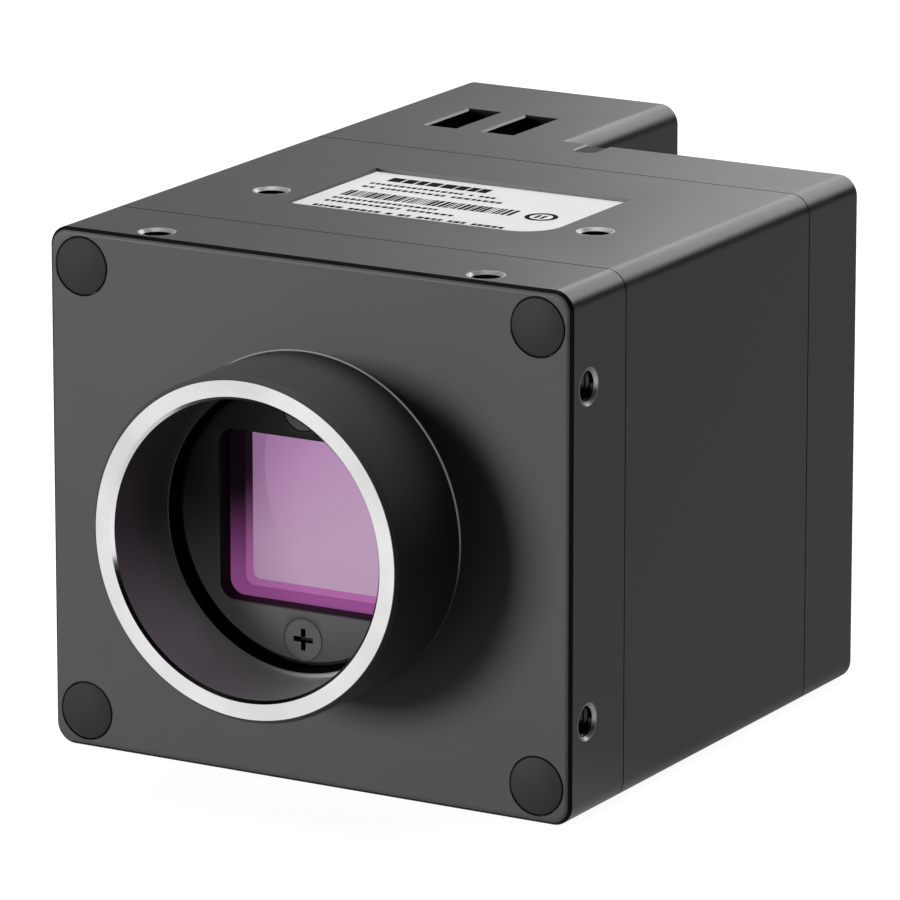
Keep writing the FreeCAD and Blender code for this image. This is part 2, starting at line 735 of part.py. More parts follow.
mouths = either(
    circle_edge("Z", "half_height", "mount_core_radius"),
    circle_edge("Z", "-half_height", "mount_core_radius"),
    circle_edge("X", "half_width", "mount_core_radius"),
    circle_edge("X", "-half_width", "mount_core_radius"),
)
bevel(front, mouths, "mount_sink")
bevel(front, outline_edge("barrel_length", "body_width", "body_height"), "front_chamfer")
bevel(front, outline_edge("seam_front_y", "body_width", "body_height"), "seam_chamfer")

# Middle housing with the label recess

middle = new_body("middle_housing")
outline = new_sketch(middle, "outline", "XZ_Plane", "seam_front_y")
rectangle(outline, 0, 0, "body_width", "body_height", "edge_radius")
rectangle(outline, 0, 0, "cavity_width", "cavity_height", "cavity_radius")
pad(middle, outline, "middle_depth")

shank_holes = new_sketch(middle, "shank_holes", "XZ_Plane", "seam_front_y")
four_circles(shank_holes, "screw_x", "screw_z", "shank_hole_radius")
cut(middle, shank_holes, "middle_depth")

for name, level in (("front_groove", "seam_front_y"), ("rear_groove", "rear_groove_y")):
    groove = new_sketch(middle, name, "XZ_Plane", level)
    rectangle(groove, 0, 0, "groove_outer_width", "groove_outer_height", "groove_radius")
    rectangle(groove, 0, 0, "groove_inner_width", "groove_inner_height", "groove_inner_radius")
    cut(middle, groove, "groove_depth")

label_recess = new_sketch(middle, "label_recess", "XY_Plane", "half_height")
west, east = edge_pair("label_left_x", "label_right_x")
south, north = edge_pair("label_front_y", "label_rear_y")
rounded_outline(label_recess, west, south, east, north, [None, "label_radius", None, None])
cut(middle, label_recess, "label_recess_depth")

mount_holes(middle, "top_mounts", "XY_Plane", "half_height", top_middle, False)
mount_holes(middle, "bottom_mounts", "XY_Plane", "-half_height", bottom_middle, True)
bevel(middle, mouths, "mount_sink")
for level in ("seam_front_y", "seam_rear_y"):
    bevel(middle, outline_edge(level, "body_width", "body_height"), "seam_chamfer")

# Rear housing with the block for the network port

rear = new_body("rear_housing")
outline = new_sketch(rear, "outline", "XZ_Plane", "seam_rear_y")
rectangle(outline, 0, 0, "body_width", "body_height", "edge_radius")
pad(rear, outline, "rear_depth")
bevel(rear, outline_edge("seam_rear_y", "body_width", "body_height"), "seam_chamfer")

block_outline = new_sketch(rear, "block", "XZ_Plane", "rear_y")
rectangle(block_outline, "block_x", "block_z", "block_width", "block_height", "edge_radius")
pad(rear, block_outline, "block_depth")

rear_cavity = new_sketch(rear, "cavity", "XZ_Plane", "seam_rear_y")
rectangle(rear_cavity, 0, 0, "cavity_width", "cavity_height", "cavity_radius")
cut(rear, rear_cavity, "rear_cavity_depth")

bay = new_sketch(rear, "bay", "XZ_Plane", "back_wall_y")
rectangle(bay, "block_x", "bay_z", "bay_width", "bay_height", "bay_radius")
cut(rear, bay, "bay_depth")

port_hole = new_sketch(rear, "port_hole", "XZ_Plane", "back_wall_y")
rectangle(port_hole, "block_x", "block_z", "port_hole_width", "port_hole_height")
cut(rear, port_hole, "port_hole_depth")

windows = new_sketch(rear, "windows", "XY_Plane", "half_height")
for x in ("window_left_x", "window_right_x"):
    rectangle(windows, x, "window_y", "window_width", "window_length")
cut(rear, windows, "window_wall")


def window_edge(edge):
    """Picker for the rims of the two windows in the top of the block."""
    box = edge.BoundBox
    top = value("half_height")
    if abs(box.ZMin - top) > 1e-4 or abs(box.ZMax - top) > 1e-4:
        return False
    reach = value("window_width") / 2 + 1e-3
    across = box.XMin > value("window_left_x") - reach
    across = across and box.XMax < value("window_right_x") + reach
    along = abs(box.Center.y - value("window_y")) < value("window_length") / 2 + 1e-3
    return across and along and box.YMin > value("rear_y")


bevel(rear, window_edge, "window_chamfer")

recess = new_sketch(rear, "recess", "XY_Plane", "half_height")
west, east = edge_pair("recess_left_x", "recess_right_x")
south, north = edge_pair("recess_front_y", "rear_y")
corners = ["recess_radius", "recess_radius", None, None]
rounded_outline(recess, west, south, east, north, corners)
cut(rear, recess, "recess_depth")

back_holes = new_sketch(rear, "back_holes", "XZ_Plane", "back_wall_y")
circle(back_holes, "receptacle_x", "receptacle_z", "receptacle_hole")
circle(back_holes, "receptacle_x", "light_z", "light_hole")
cut(rear, back_holes, "back_wall")

taps = new_sketch(rear, "taps", "XZ_Plane", "seam_rear_y")
four_circles(taps, "screw_x", "screw_z", "tap_radius")
cut(rear, taps, "tap_depth")


def block_end_edge(edge):
    """Picker for the outer outline of the block at its far end."""
    box = edge.BoundBox
    place = value("block_end_y")
    if abs(box.YMin - place) > 1e-4 or abs(box.YMax - place) > 1e-4:
        return False
    half_w = value("block_width") / 2
    half_h = value("block_height") / 2
    reach_x = max(abs(box.XMin - value("block_x")), abs(box.XMax - value("block_x")))
    reach_z = max(abs(box.ZMin - value("block_z")), abs(box.ZMax - value("block_z")))
    return reach_x > half_w - 1e-4 or reach_z > half_h - 1e-4


bevel(rear, block_end_edge, "end_chamfer")


def rear_edge(edge):
    """Picker for the straight free edges round the back of the body."""
    box = edge.BoundBox
    place = value("rear_y")
    if abs(box.YMin - place) > 1e-4 or abs(box.YMax - place) > 1e-4:
        return False
    outer_x = box.XMax > value("half_width") - 1e-4
    low = box.ZMin < -value("half_height") + 1e-4
    return outer_x or low


bevel(rear, rear_edge, "end_chamfer")

# Lens barrel

barrel = new_body("lens_mount_barrel")
profile = new_sketch(barrel, "profile", "XY_Plane", 0)
polygon(profile, [
    ("mouth_radius", 0),
    ("barrel_face_radius", 0),
    ("barrel_radius", "barrel_chamfer"),
    ("barrel_radius", "barrel_length"),
    ("spigot_radius", "barrel_length"),
    ("spigot_radius", "spigot_end_y"),
    ("step_radius", "spigot_end_y"),
    ("step_radius", "thread_depth"),
    ("thread_radius", "thread_depth"),
    ("thread_radius", "mouth_chamfer"),
])
revolve(barrel, profile)

# Mask plate, its screws, and the filter behind it

mask = new_body("sensor_mask_plate")
outline = new_sketch(mask, "outline", "XZ_Plane", "mask_y")
circle(outline, 0, 0, "mask_radius")
rectangle(outline, 0, 0, "opening_width", "opening_height", "opening_radius")
pad(mask, outline, "mask_thickness")
screw_holes = new_sketch(mask, "screw_holes", "XZ_Plane", "mask_y")
circle(screw_holes, 0, "mask_screw_z", "mask_hole_radius")
circle(screw_holes, 0, "-mask_screw_z", "mask_hole_radius")
cut(mask, screw_holes, "mask_thickness")
bevel(mask, circle_edge("Y", "mask_y", "mask_hole_radius"), "mask_sink")


def opening_edge(edge):
    """Picker for the front rim of the sensor opening."""
    box = edge.BoundBox
    flat = abs(box.YMin - value("mask_y")) < 1e-4 and abs(box.YMax - value("mask_y")) < 1e-4
    inside_x = max(abs(box.XMin), abs(box.XMax)) < value("opening_width") / 2 + 1e-3
    inside_z = max(abs(box.ZMin), abs(box.ZMax)) < value("opening_height") / 2 + 1e-3
    return flat and inside_x and inside_z


bevel(mask, opening_edge, "opening_bevel")

mask_screws = new_body("mask_plate_screws")
heads = new_sketch(mask_screws, "heads", "XZ_Plane", "mask_y")
circle(heads, 0, "mask_screw_z", "mask_screw_head")
circle(heads, 0, "-mask_screw_z", "mask_screw_head")
pad(mask_screws, heads, "mask_head_height")
bevel(mask_screws, circle_edge("Y", "mask_head_end_y", "mask_screw_head"), "mask_cone_depth")
shanks = new_sketch(mask_screws, "shanks", "XZ_Plane", "mask_y")
circle(shanks, 0, "mask_screw_z", "mask_screw_radius")
circle(shanks, 0, "-mask_screw_z", "mask_screw_radius")
pad(mask_screws, shanks, "mask_screw_length")
for name, width, height in (
    ("slot_across", "cross_length", "cross_width"),
    ("slot_up", "cross_width", "cross_length"),
):
    slot = new_sketch(mask_screws, name, "XZ_Plane", "mask_y")
    rectangle(slot, 0, "mask_screw_z", width, height)
    rectangle(slot, 0, "-mask_screw_z", width, height)
    cut(mask_screws, slot, "cross_depth")

holder = new_body("filter_holder")
outline = new_sketch(holder, "outline", "XZ_Plane", "holder_y")
circle(outline, 0, 0, "mask_radius")
rectangle(outline, 0, 0, "opening_width", "opening_height", "opening_radius")
circle(outline, 0, "mask_screw_z", "mask_hole_radius")
circle(outline, 0, "-mask_screw_z", "mask_hole_radius")
pad(holder, outline, "holder_thickness")
glass_pocket = new_sketch(holder, "glass_pocket", "XZ_Plane", "glass_y")
rectangle(glass_pocket, 0, 0, "glass_pocket_width", "glass_pocket_height")
cut(holder, glass_pocket, "glass_pocket_depth")

block("filter_glass", 0, 0, "glass_width", "glass_height", "glass_y", "glass_thickness")

# Image sensor

block("sensor_cover_glass", 0, 0, "cover_width", "cover_height", "cover_y", "cover_thickness")
package = block(
    "sensor_package", 0, 0, "package_width", "package_height", "package_y", "package_depth"
)
die_pocket = new_sketch(package, "die_pocket", "XZ_Plane", "package_y")
rectangle(die_pocket, 0, 0, "package_pocket_width", "package_pocket_height")
cut(package, die_pocket, "package_pocket_depth")
block("image_sensor", 0, 0, "sensor_size", "sensor_size", "sensor_y", "sensor_thickness")


def circuit_board(label, y, width, height):
    """Board with four holes for the pillars."""
    body = new_body(label)
    sketch = new_sketch(body, "outline", "XZ_Plane", y)
    rectangle(sketch, 0, 0, width, height)
    four_circles(sketch, "pillar_x", "pillar_z", "board_hole_radius")
    pad(body, sketch, "board_thickness")
    return body


circuit_board("sensor_board", "sensor_board_y", "sensor_board_width", "sensor_board_height")
circuit_board("main_board", "main_board_y", "board_width", "board_height")
circuit_board("network_board", "network_board_y", "board_width", "board_height")

spacers = new_body("sensor_board_spacers")
outline = new_sketch(spacers, "outline", "XZ_Plane", "web_rear_y")
four_circles(outline, "pillar_x", "pillar_z", "spacer_radius")
four_circles(outline, "pillar_x", "pillar_z", "board_hole_radius")
pad(spacers, outline, "spacer_length")


def pillars(label, y, length, stud_y, stud_length):
    """Four hexagonal pillars with a stud in front and a tapped back end."""
    body = new_body(label)
    sketch = new_sketch(body, "hexagons", "XZ_Plane", y)
    four_hexagons(sketch, "pillar_x", "pillar_z", "pillar_flat")
    pad(body, sketch, length)
    studs = new_sketch(body, "studs", "XZ_Plane", stud_y)
    four_circles(studs, "pillar_x", "pillar_z", "stud_radius")
    pad(body, studs, stud_length)
    return body


def tap_pillars(body, level):
    """Tapped hole in the back end of each pillar, ending at y = level."""
    holes = new_sketch(body, "tapped_ends", "XZ_Plane", level)
    four_circles(holes, "pillar_x", "pillar_z", "stud_hole_radius")
    cut(body, holes, "pillar_hole_depth", back=True)


front_pillars = pillars(
    "front_board_pillars", "sensor_board_end_y", "front_pillar_length",
    "stud_y", "front_stud_length",
)
tap_pillars(front_pillars, "main_board_y")
rear_pillars = pillars(
    "rear_board_pillars", "main_board_end_y", "rear_pillar_length",
    "rear_stud_y", "stud_reach",
)
tap_pillars(rear_pillars, "network_board_y")

board_screws = new_body("board_screws")
heads = new_sketch(board_screws, "heads", "XZ_Plane", "network_board_end_y")
four_circles(heads, "pillar_x", "pillar_z", "board_screw_head")
pad(board_screws, heads, "board_screw_head_height")
shanks = new_sketch(board_screws, "shanks", "XZ_Plane", "board_screw_y")
four_circles(shanks, "pillar_x", "pillar_z", "stud_radius")
pad(board_screws, shanks, "stud_reach")
for name, width, height in (
    ("slot_across", "board_cross_length", "board_cross_width"),
    ("slot_up", "board_cross_width", "board_cross_length"),
):
    slot = new_sketch(board_screws, name, "XZ_Plane", "board_screw_end_y")
    for x in ("pillar_x", "-pillar_x"):
        for z in ("pillar_z", "-pillar_z"):
            rectangle(slot, x, z, width, height)
    cut(board_screws, slot, "cross_depth", back=True)

# Electronics behind the sensor

block(
    "sensor_board_plug", 0, "link_z", "link_width", "link_height",
    "sensor_board_end_y", "plug_length",
)
block(
    "main_board_socket", 0, "link_z", "link_width", "link_height",
    "socket_y", "socket_length",
)

memory = new_body("memory_chips")
outline = new_sketch(memory, "outline", "XZ_Plane", "chip_y")
for x in ("chip_x", "-chip_x"):
    for z in ("chip_z", "-chip_z"):
        rectangle(outline, x, z, "chip_width", "chip_height")
pad(memory, outline, "chip_thickness")

block(
    "processor", 0, 0, "processor_size", "processor_size",
    "main_board_end_y", "processor_thickness",
)
block("thermal_pad", 0, 0, "pad_size", "pad_size", "pad_y", "pad_thickness")
block(
    "heat_spreader", 0, 0, "cavity_width", "spreader_height",
    "spreader_y", "spreader_depth",
)

ribbon_ends = new_body("ribbon_connectors")
for name, level in (("front_end", "main_board_end_y"), ("rear_end", "ribbon_rear_y")):
    outline = new_sketch(ribbon_ends, name, "XZ_Plane", level)
    rectangle(outline, 0, "ribbon_z", "ribbon_holder_width", "ribbon_holder_height")
    pad(ribbon_ends, outline, "ribbon_holder_depth")
block(
    "ribbon_cable", 0, "ribbon_z", "ribbon_width", "ribbon_thickness",
    "ribbon_y", "ribbon_length",
)
block(
    "network_chip", "network_chip_x", "network_chip_z", "network_chip_size",
    "network_chip_size", "network_board_end_y", "network_chip_thickness",
)
block(
    "port_link_header", "header_x", "header_z", "header_width", "header_height",
    "network_board_end_y", "header_length",
)

# Network port

block(
    "port_board", "block_x", "block_z", "port_board_width", "port_board_height",
    "port_board_y", "board_thickness",
)

shield = new_body("jack_shield")
outline = new_sketch(shield, "outline", "XZ_Plane", "port_board_end_y")
rectangle(outline, "block_x", "block_z", "shield_width", "shield_height")
rectangle(outline, "block_x", "block_z", "shield_inner_width", "shield_inner_height")
pad(shield, outline, "shield_length")

jack = block(
    "jack_housing", "block_x", "block_z", "jack_width", "jack_height",
    "port_board_end_y", "jack_length",
)
for name, z, width, height in (
    ("socket", "socket_z", "socket_width", "socket_height"),
    ("latch_slot", "latch_z", "latch_width", "latch_height"),
    ("tongue_slot", "tongue_z", "tongue_width", "tongue_height"),
):
    hollow = new_sketch(jack, name, "XZ_Plane", "jack_end_y")
    rectangle(hollow, "block_x", z, width, height)
    cut(jack, hollow, "socket_depth", back=True)

contacts = new_body("jack_contacts")
outline = new_sketch(contacts, "outline", "XZ_Plane", "contact_y")
for i in range(8):
    rectangle(outline, "contact_x%d" % (i + 1), "contact_z", "contact_width", "contact_width")
pad(contacts, outline, "contact_length")

# Power and signal receptacle

shell = new_body("receptacle_shell")
outline = new_sketch(shell, "inner", "XZ_Plane", "shell_y")
circle(outline, "receptacle_x", "receptacle_z", "shell_radius")
circle(outline, "receptacle_x", "receptacle_z", "shell_bore")
pad(shell, outline, "shell_inner_length")
outline = new_sketch(shell, "flange", "XZ_Plane", "rear_y")
circle(outline, "receptacle_x", "receptacle_z", "flange_radius")
circle(outline, "receptacle_x", "receptacle_z", "shell_bore")
pad(shell, outline, "flange_thickness")
outline = new_sketch(shell, "outer", "XZ_Plane", "flange_end_y")
circle(outline, "receptacle_x", "receptacle_z", "shell_radius")
circle(outline, "receptacle_x", "receptacle_z", "shell_bore")
pad(shell, outline, "shell_length")

nut = new_body("receptacle_nut")
outline = new_sketch(nut, "outline", "XZ_Plane", "nut_y")
hexagon(outline, "receptacle_x", "receptacle_z", "nut_flat")
circle(outline, "receptacle_x", "receptacle_z", "nut_bore")
pad(nut, outline, "nut_thickness")

insert = new_body("receptacle_insert")
outline = new_sketch(insert, "outline", "XZ_Plane", "shell_y")
circle(outline, "receptacle_x", "receptacle_z", "insert_radius")
pad(insert, outline, "insert_length")

pins = new_body("receptacle_pins")
outline = new_sketch(pins, "outline", "XZ_Plane", "insert_end_y")


def pin_ring(sketch, count, radius, turn):
    """Pins spread evenly round the axis of the receptacle."""
    for i in range(count):
        angle = turn + 2 * math.pi * i / count
        spots = []
        for middle, part in (("receptacle_x", math.cos(angle)), ("receptacle_z", math.sin(angle))):
            text = "%s + %s * %.12f" % (formula(middle), formula(radius), part)
            spots.append((text, value(middle) + value(radius) * part))
        centre = FreeCAD.Vector(spots[0][1], spots[1][1], 0)
        ring = Part.Circle(centre, FreeCAD.Vector(0, 0, 1), value("pin_radius"))
        geo = sketch.addGeometry(ring, False)
        fix(sketch, "Radius", (geo,), formula("pin_radius"), value("pin_radius"))
        fix(sketch, "DistanceX", (-1, 1, geo, 3), spots[0][0], spots[0][1])
        fix(sketch, "DistanceY", (-1, 1, geo, 3), spots[1][0], spots[1][1])


pin_ring(outline, 9, "pin_circle", math.pi / 2)
pin_ring(outline, 3, "pin_inner_circle", math.pi / 2)
pad(pins, outline, "pin_length")

light = new_body("status_light")
outline = new_sketch(light, "outline", "XZ_Plane", "light_y")
circle(outline, "receptacle_x", "light_z", "light_radius")
pad(light, outline, "light_length")

# Assembly screws, plugs, seals and label

plugs = new_body("corner_plugs")
outline = new_sketch(plugs, "outline", "XZ_Plane", "barrel_length")
four_circles(outline, "screw_x", "screw_z", "plug_radius")
pad(plugs, outline, "plug_thickness")
bevel(plugs, circle_edge("Y", "barrel_length", "plug_radius"), "plug_chamfer")

screws = new_body("assembly_screws")
heads = new_sketch(screws, "heads", "XZ_Plane", "head_y")
four_circles(heads, "screw_x", "screw_z", "head_radius")
pad(screws, heads, "head_height")
shanks = new_sketch(screws, "shanks", "XZ_Plane", "head_end_y")
four_circles(shanks, "screw_x", "screw_z", "shank_radius")
pad(screws, shanks, "shank_length")
sockets = new_sketch(screws, "sockets", "XZ_Plane", "head_y")
four_hexagons(sockets, "screw_x", "screw_z", "hex_flat")
cut(screws, sockets, "hex_depth")

for label, level in (("front_seal", "seam_front_y"), ("rear_seal", "rear_groove_y")):
    seal = new_body(label)
    outline = new_sketch(seal, "outline", "XZ_Plane", level)
    rectangle(outline, 0, 0, "seal_outer_width", "seal_outer_height", "seal_outer_radius")
    rectangle(outline, 0, 0, "seal_inner_width", "seal_inner_height", "seal_inner_radius")
    pad(seal, outline, "groove_depth")

label_plate = new_body("label_plate")
outline = new_sketch(label_plate, "outline", "XY_Plane", "label_floor_z")
west, east = edge_pair("plate_left_x", "plate_right_x")
south, north = edge_pair("plate_front_y", "plate_rear_y")
rounded_outline(outline, west, south, east, north, [None, "plate_radius", None, None])
pad(label_plate, outline, "label_thickness")

# Check every object and write the nodes

doc.recompute()
for item in doc.Objects:
    faults = [state for state in item.State if state in ("Invalid", "Error")]
    if faults:
        raise RuntimeError("%s is %s" % (item.Label, faults))
os.makedirs("parts", exist_ok=True)
for body in NODES:
    shape = body.Shape
    if shape.isNull() or not shape.isValid() or not shape.Solids:
        raise RuntimeError("no valid solid in " + body.Label)
    shape.exportStep(os.path.join("parts", body.Label + ".step"))
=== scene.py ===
"""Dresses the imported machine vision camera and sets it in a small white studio."""

import logging
import math
import random
from collections.abc import Callable, Iterator, Sequence
from contextlib import contextmanager
from dataclasses import dataclass
from enum import Enum

import bmesh
import bpy
from mathutils import Matrix, Vector


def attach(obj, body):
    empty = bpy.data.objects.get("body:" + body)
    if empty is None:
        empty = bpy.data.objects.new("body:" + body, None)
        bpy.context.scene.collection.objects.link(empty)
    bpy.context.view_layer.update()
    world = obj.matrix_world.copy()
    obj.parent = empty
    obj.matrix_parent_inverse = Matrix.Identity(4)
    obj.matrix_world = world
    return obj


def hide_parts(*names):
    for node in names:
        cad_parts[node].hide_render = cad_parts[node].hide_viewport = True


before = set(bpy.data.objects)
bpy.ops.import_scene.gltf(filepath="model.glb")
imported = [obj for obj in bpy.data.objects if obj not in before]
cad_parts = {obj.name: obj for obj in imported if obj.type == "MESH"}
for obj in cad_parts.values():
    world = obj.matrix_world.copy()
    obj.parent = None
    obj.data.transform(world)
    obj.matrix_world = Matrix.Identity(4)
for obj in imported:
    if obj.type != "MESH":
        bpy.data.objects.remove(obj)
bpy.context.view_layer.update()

LOG = logging.getLogger("camera_scene")
MM = 0.001
TINY = 1e-6
ON_AXIS = 1e-4

Colour = tuple[float, float, float]
Place = Sequence[float]
Test = Callable[[Vector, Vector], bool]
Object = bpy.types.Object
Tree = bpy.types.NodeTree
Node = bpy.types.Node
Socket = bpy.types.NodeSocket


class Facing(Enum):
    """Outside face of the camera that a hole goes into."""

    TOP = (0.0, 0.0, 1.0)
    BOTTOM = (0.0, 0.0, -1.0)
    RIGHT = (1.0, 0.0, 0.0)
    LEFT = (-1.0, 0.0, 0.0)
    FRONT = (0.0, -1.0, 0.0)
    BACK = (0.0, 1.0, 0.0)


Hole = tuple[Facing, tuple[float, float, float]]


# Shader node tools


def feed(tree: Tree, node: Node, inputs: dict[str | int, object]) -> None:
    """Link a node's inputs to sockets, or set them to values.

    Args:
        tree: Node tree of the node.
        node: The node.
        inputs: Socket or value of each input, by its name or place.
    """
    for key, value in inputs.items():
        if isinstance(value, Socket):
            tree.links.new(value, node.inputs[key])
        else:
            node.inputs[key].default_value = value


def add_node(
    tree: Tree, kind: str, inputs: dict[str | int, object] | None = None, **settings: object
) -> Node:
    """Add a shader node.

    Args:
        tree: Node tree to add to.
        kind: Node type, without the word ShaderNode.
        inputs: Sockets to link and values to set, by the name or place of the input.
        **settings: Properties of the node.

    Returns:
        The node.
    """
    node = tree.nodes.new(f"ShaderNode{kind}")
    for key, value in settings.items():
        setattr(node, key, value)
    feed(tree, node, inputs or {})
    return node


def mapped(
    tree: Tree, value: Socket, span: tuple[float, float],
    low: float = 0.0, high: float = 1.0, interpolation: str = "LINEAR",
) -> Socket:
    """Map a value from one range to another.

    Args:
        tree: Node tree to add to.
        value: Socket with the value.
        span: Range that it comes from.
        low: Result at the start of the range.
        high: Result at its end.
        interpolation: How it runs between them.

    Returns:
        Socket with the result.
    """
    inputs = {"Value": value, "From Min": span[0], "From Max": span[1]}
    inputs |= {"To Min": low, "To Max": high}
    return add_node(tree, "MapRange", inputs, interpolation_type=interpolation).outputs["Result"]


def blended(tree: Tree, factor: Socket, first: float | Socket, second: float | Socket) -> Socket:
    """Number that goes from a first one to a second one with a factor."""
    inputs = {"Factor": factor, "A": first, "B": second}
    return add_node(tree, "Mix", inputs, data_type="FLOAT").outputs["Result"]


def calculated(tree: Tree, operation: str, first: Socket, second: Socket) -> Socket:
    """Result of a Math node with two inputs."""
    return add_node(tree, "Math", {0: first, 1: second}, operation=operation).outputs["Value"]


# Finishes


def surface_grain() -> Tree:
    """Shader node group with a fine grain height and a slow mottle mask.

    Returns:
        The node group, built once.
    """
    name = "surface_grain"
    if name in bpy.data.node_groups:
        return bpy.data.node_groups[name]
    tree = bpy.data.node_groups.new(name, "ShaderNodeTree")
    noises = (("Grain Scale", 3.0, "Height"), ("Mottle Scale", 4.0, "Mottle"))
    for scale, _, result in noises:
        tree.interface.new_socket(scale, in_out="INPUT", socket_type="NodeSocketFloat")
        tree.interface.new_socket(result, in_out="OUTPUT", socket_type="NodeSocketFloat")
    start = tree.nodes.new("NodeGroupInput")
    end = tree.nodes.new("NodeGroupOutput")
    place = add_node(tree, "TexCoord").outputs["Object"]
    for scale, detail, result in noises:
        inputs = {"Vector": place, "Scale": start.outputs[scale], "Detail": detail}
        feed(tree, end, {result: add_node(tree, "TexNoise", inputs).outputs["Fac"]})
    return tree


def turning_marks() -> Tree:
    """Shader node group with the height of fine lathe rings round the Y axis.

    Returns:
        The node group, built once.
    """
    name = "turning_marks"
    if name in bpy.data.node_groups:
        return bpy.data.node_groups[name]
    tree = bpy.data.node_groups.new(name, "ShaderNodeTree")
    tree.interface.new_socket("Height", in_out="OUTPUT", socket_type="NodeSocketFloat")
    place = add_node(tree, "TexCoord").outputs["Object"]
    inputs = {"Vector": place, "Scale": 900.0, "Distortion": 1.5, "Detail": 2.0}
    wave = add_node(tree, "TexWave", inputs, wave_type="RINGS", rings_direction="Y")
    feed(tree, tree.nodes.new("NodeGroupOutput"), {"Height": wave.outputs["Fac"]})
    return tree


@dataclass(frozen=True)
class Finish:
    """One material with grain, mottling and a little change in gloss."""

    name: str
    colour: Colour
    roughness: float = 0.5
    metallic: float = 0.0
    mottle: float = 0.12
    gloss_change: float = 0.06
    grain: float = 0.05
    grain_scale: float = 2600.0
    grain_depth: float = 0.05
    mottle_scale: float = 60.0
    mottle_span: tuple[float, float] = (0.3, 0.7)
    specular: float = 0.5
    transmission: float = 0.0
    ior: float = 1.45
    glow: float = 0.0
    turned: bool = False
    alpha: float = 1.0

    @property
    def label(self) -> str:
        """Name of the material."""
        return f"look_{self.name}"

    def build(self) -> bpy.types.Material:
        """Make the material, or find it when it exists.

        Returns:
            The material.
        """
        if self.label in bpy.data.materials:
            return bpy.data.materials[self.label]
        material = bpy.data.materials.new(self.label)
        material.use_nodes = True
        tree = material.node_tree
        shader = tree.nodes["Principled BSDF"]
        scales = {"Grain Scale": self.grain_scale, "Mottle Scale": self.mottle_scale}
        grain = add_node(tree, "Group", scales, node_tree=surface_grain())
        relief = add_node(tree, "Group", node_tree=turning_marks()) if self.turned else grain
        bump = add_node(tree, "Bump", {
            "Strength": self.grain, "Distance": self.grain_depth * MM,
            "Height": relief.outputs["Height"],
        })
        shiny, dull = self.roughness - self.gloss_change, self.roughness + self.gloss_change
        mottle = grain.outputs["Mottle"]
        feed(tree, shader, {
            "Metallic": self.metallic,
            "Specular IOR Level": self.specular,
            "Transmission Weight": self.transmission,
            "IOR": self.ior,
            "Alpha": self.alpha,
            "Roughness": mapped(tree, mottle, self.mottle_span, max(shiny, 0.0), dull),
            "Normal": bump.outputs["Normal"],
        })
        # Painted light: the surface glows in its own colour, though it is no lamp.
        if self.glow:
            glow = {"Emission Color": (*self.colour, 1), "Emission Strength": self.glow}
            feed(tree, shader, glow)
        self.link_colour(tree, shader, mottle)
        return material

    def link_colour(self, tree: Tree, shader: Node, mottle: Socket) -> None:
        """Mottle the base colour a little.

        Args:
            tree: Node tree of the material.
            shader: Its Principled node.
            mottle: Slow mask over the surface.
        """
        ramp = add_node(tree, "ValToRGB", {"Fac": mottle})
        levels = (1 - self.mottle, 1 + self.mottle)
        for stop, position, level in zip(ramp.color_ramp.elements, self.mottle_span, levels):
            stop.position = position
            stop.color = (*(min(channel * level, 1.0) for channel in self.colour), 1)
        feed(tree, shader, {"Base Color": ramp.outputs["Color"]})


@dataclass(frozen=True)
class PaintedLightFinish(Finish):
    """Surface whose colour runs from the bottom to the top, in millimetres: painted light and
    shade, often glowing as well.
    """

    top_colour: Colour = (0.5, 0.5, 0.5)
    low: float = -12.0
    high: float = 12.0
    slant: float = 0.0
    arc_radius: float = 0.0
    arc_centre: tuple[float, float, float] = (14.2, 19.3, 6.5)
    arc_level: float = 0.8
    arc_blur: float = 0.15
    arc_fade: float = 4.0

    def link_colour(self, tree: Tree, shader: Node, mottle: Socket) -> None:
        """Run the colour along the height, slanted to one side, as painted light and shade.

        Args:
            tree: Node tree of the material.
            shader: Its Principled node.
            mottle: Slow mask over the surface, which this finish leaves out.
        """
        place = add_node(tree, "TexCoord").outputs["Object"]
        slope = {0: place, 1: (self.slant, 0.0, 1.0)}
        along = add_node(tree, "VectorMath", slope, operation="DOT_PRODUCT").outputs["Value"]
        span = (self.low * MM, self.high * MM)
        fade = mapped(tree, along, span, interpolation="SMOOTHSTEP")
        ends = {"Factor": fade, "A": (*self.colour, 1), "B": (*self.top_colour, 1)}
        colour = add_node(tree, "Mix", ends, data_type="RGBA").outputs["Result"]
        if self.arc_radius:
            colour = self.link_arc(tree, place, colour)
        feed(tree, shader, {"Base Color": colour, "Emission Color": colour})

    def link_arc(self, tree: Tree, place: Socket, colour: Socket) -> Socket:
        """Paint the reflection of the barrel mouth: darken the upper part outside its arc.

        Args:
            tree: Node tree of the material.
            place: Place on the object.
            colour: The colour so far.

        Returns:
            The darkened colour.
        """
        centre = {0: place, 1: [part * MM for part in self.arc_centre]}
        reach = add_node(tree, "VectorMath", centre, operation="DISTANCE").outputs["Value"]
        edge = ((self.arc_radius - self.arc_blur) * MM, (self.arc_radius + self.arc_blur) * MM)
        height = add_node(tree, "SeparateXYZ", {"Vector": place}).outputs["Z"]
        upper = mapped(tree, height, (-self.arc_fade * MM, self.arc_fade * MM))
        mask = calculated(tree, "MULTIPLY", mapped(tree, reach, edge), upper)
        level = mapped(tree, mask, (0.0, 1.0), 1.0, self.arc_level)
        dim = add_node(tree, "VectorMath", {0: colour, "Scale": level}, operation="SCALE")
        return dim.outputs["Vector"]


def grey(level: float) -> Colour:
    """Neutral colour of one level."""
    return (level, level, level)


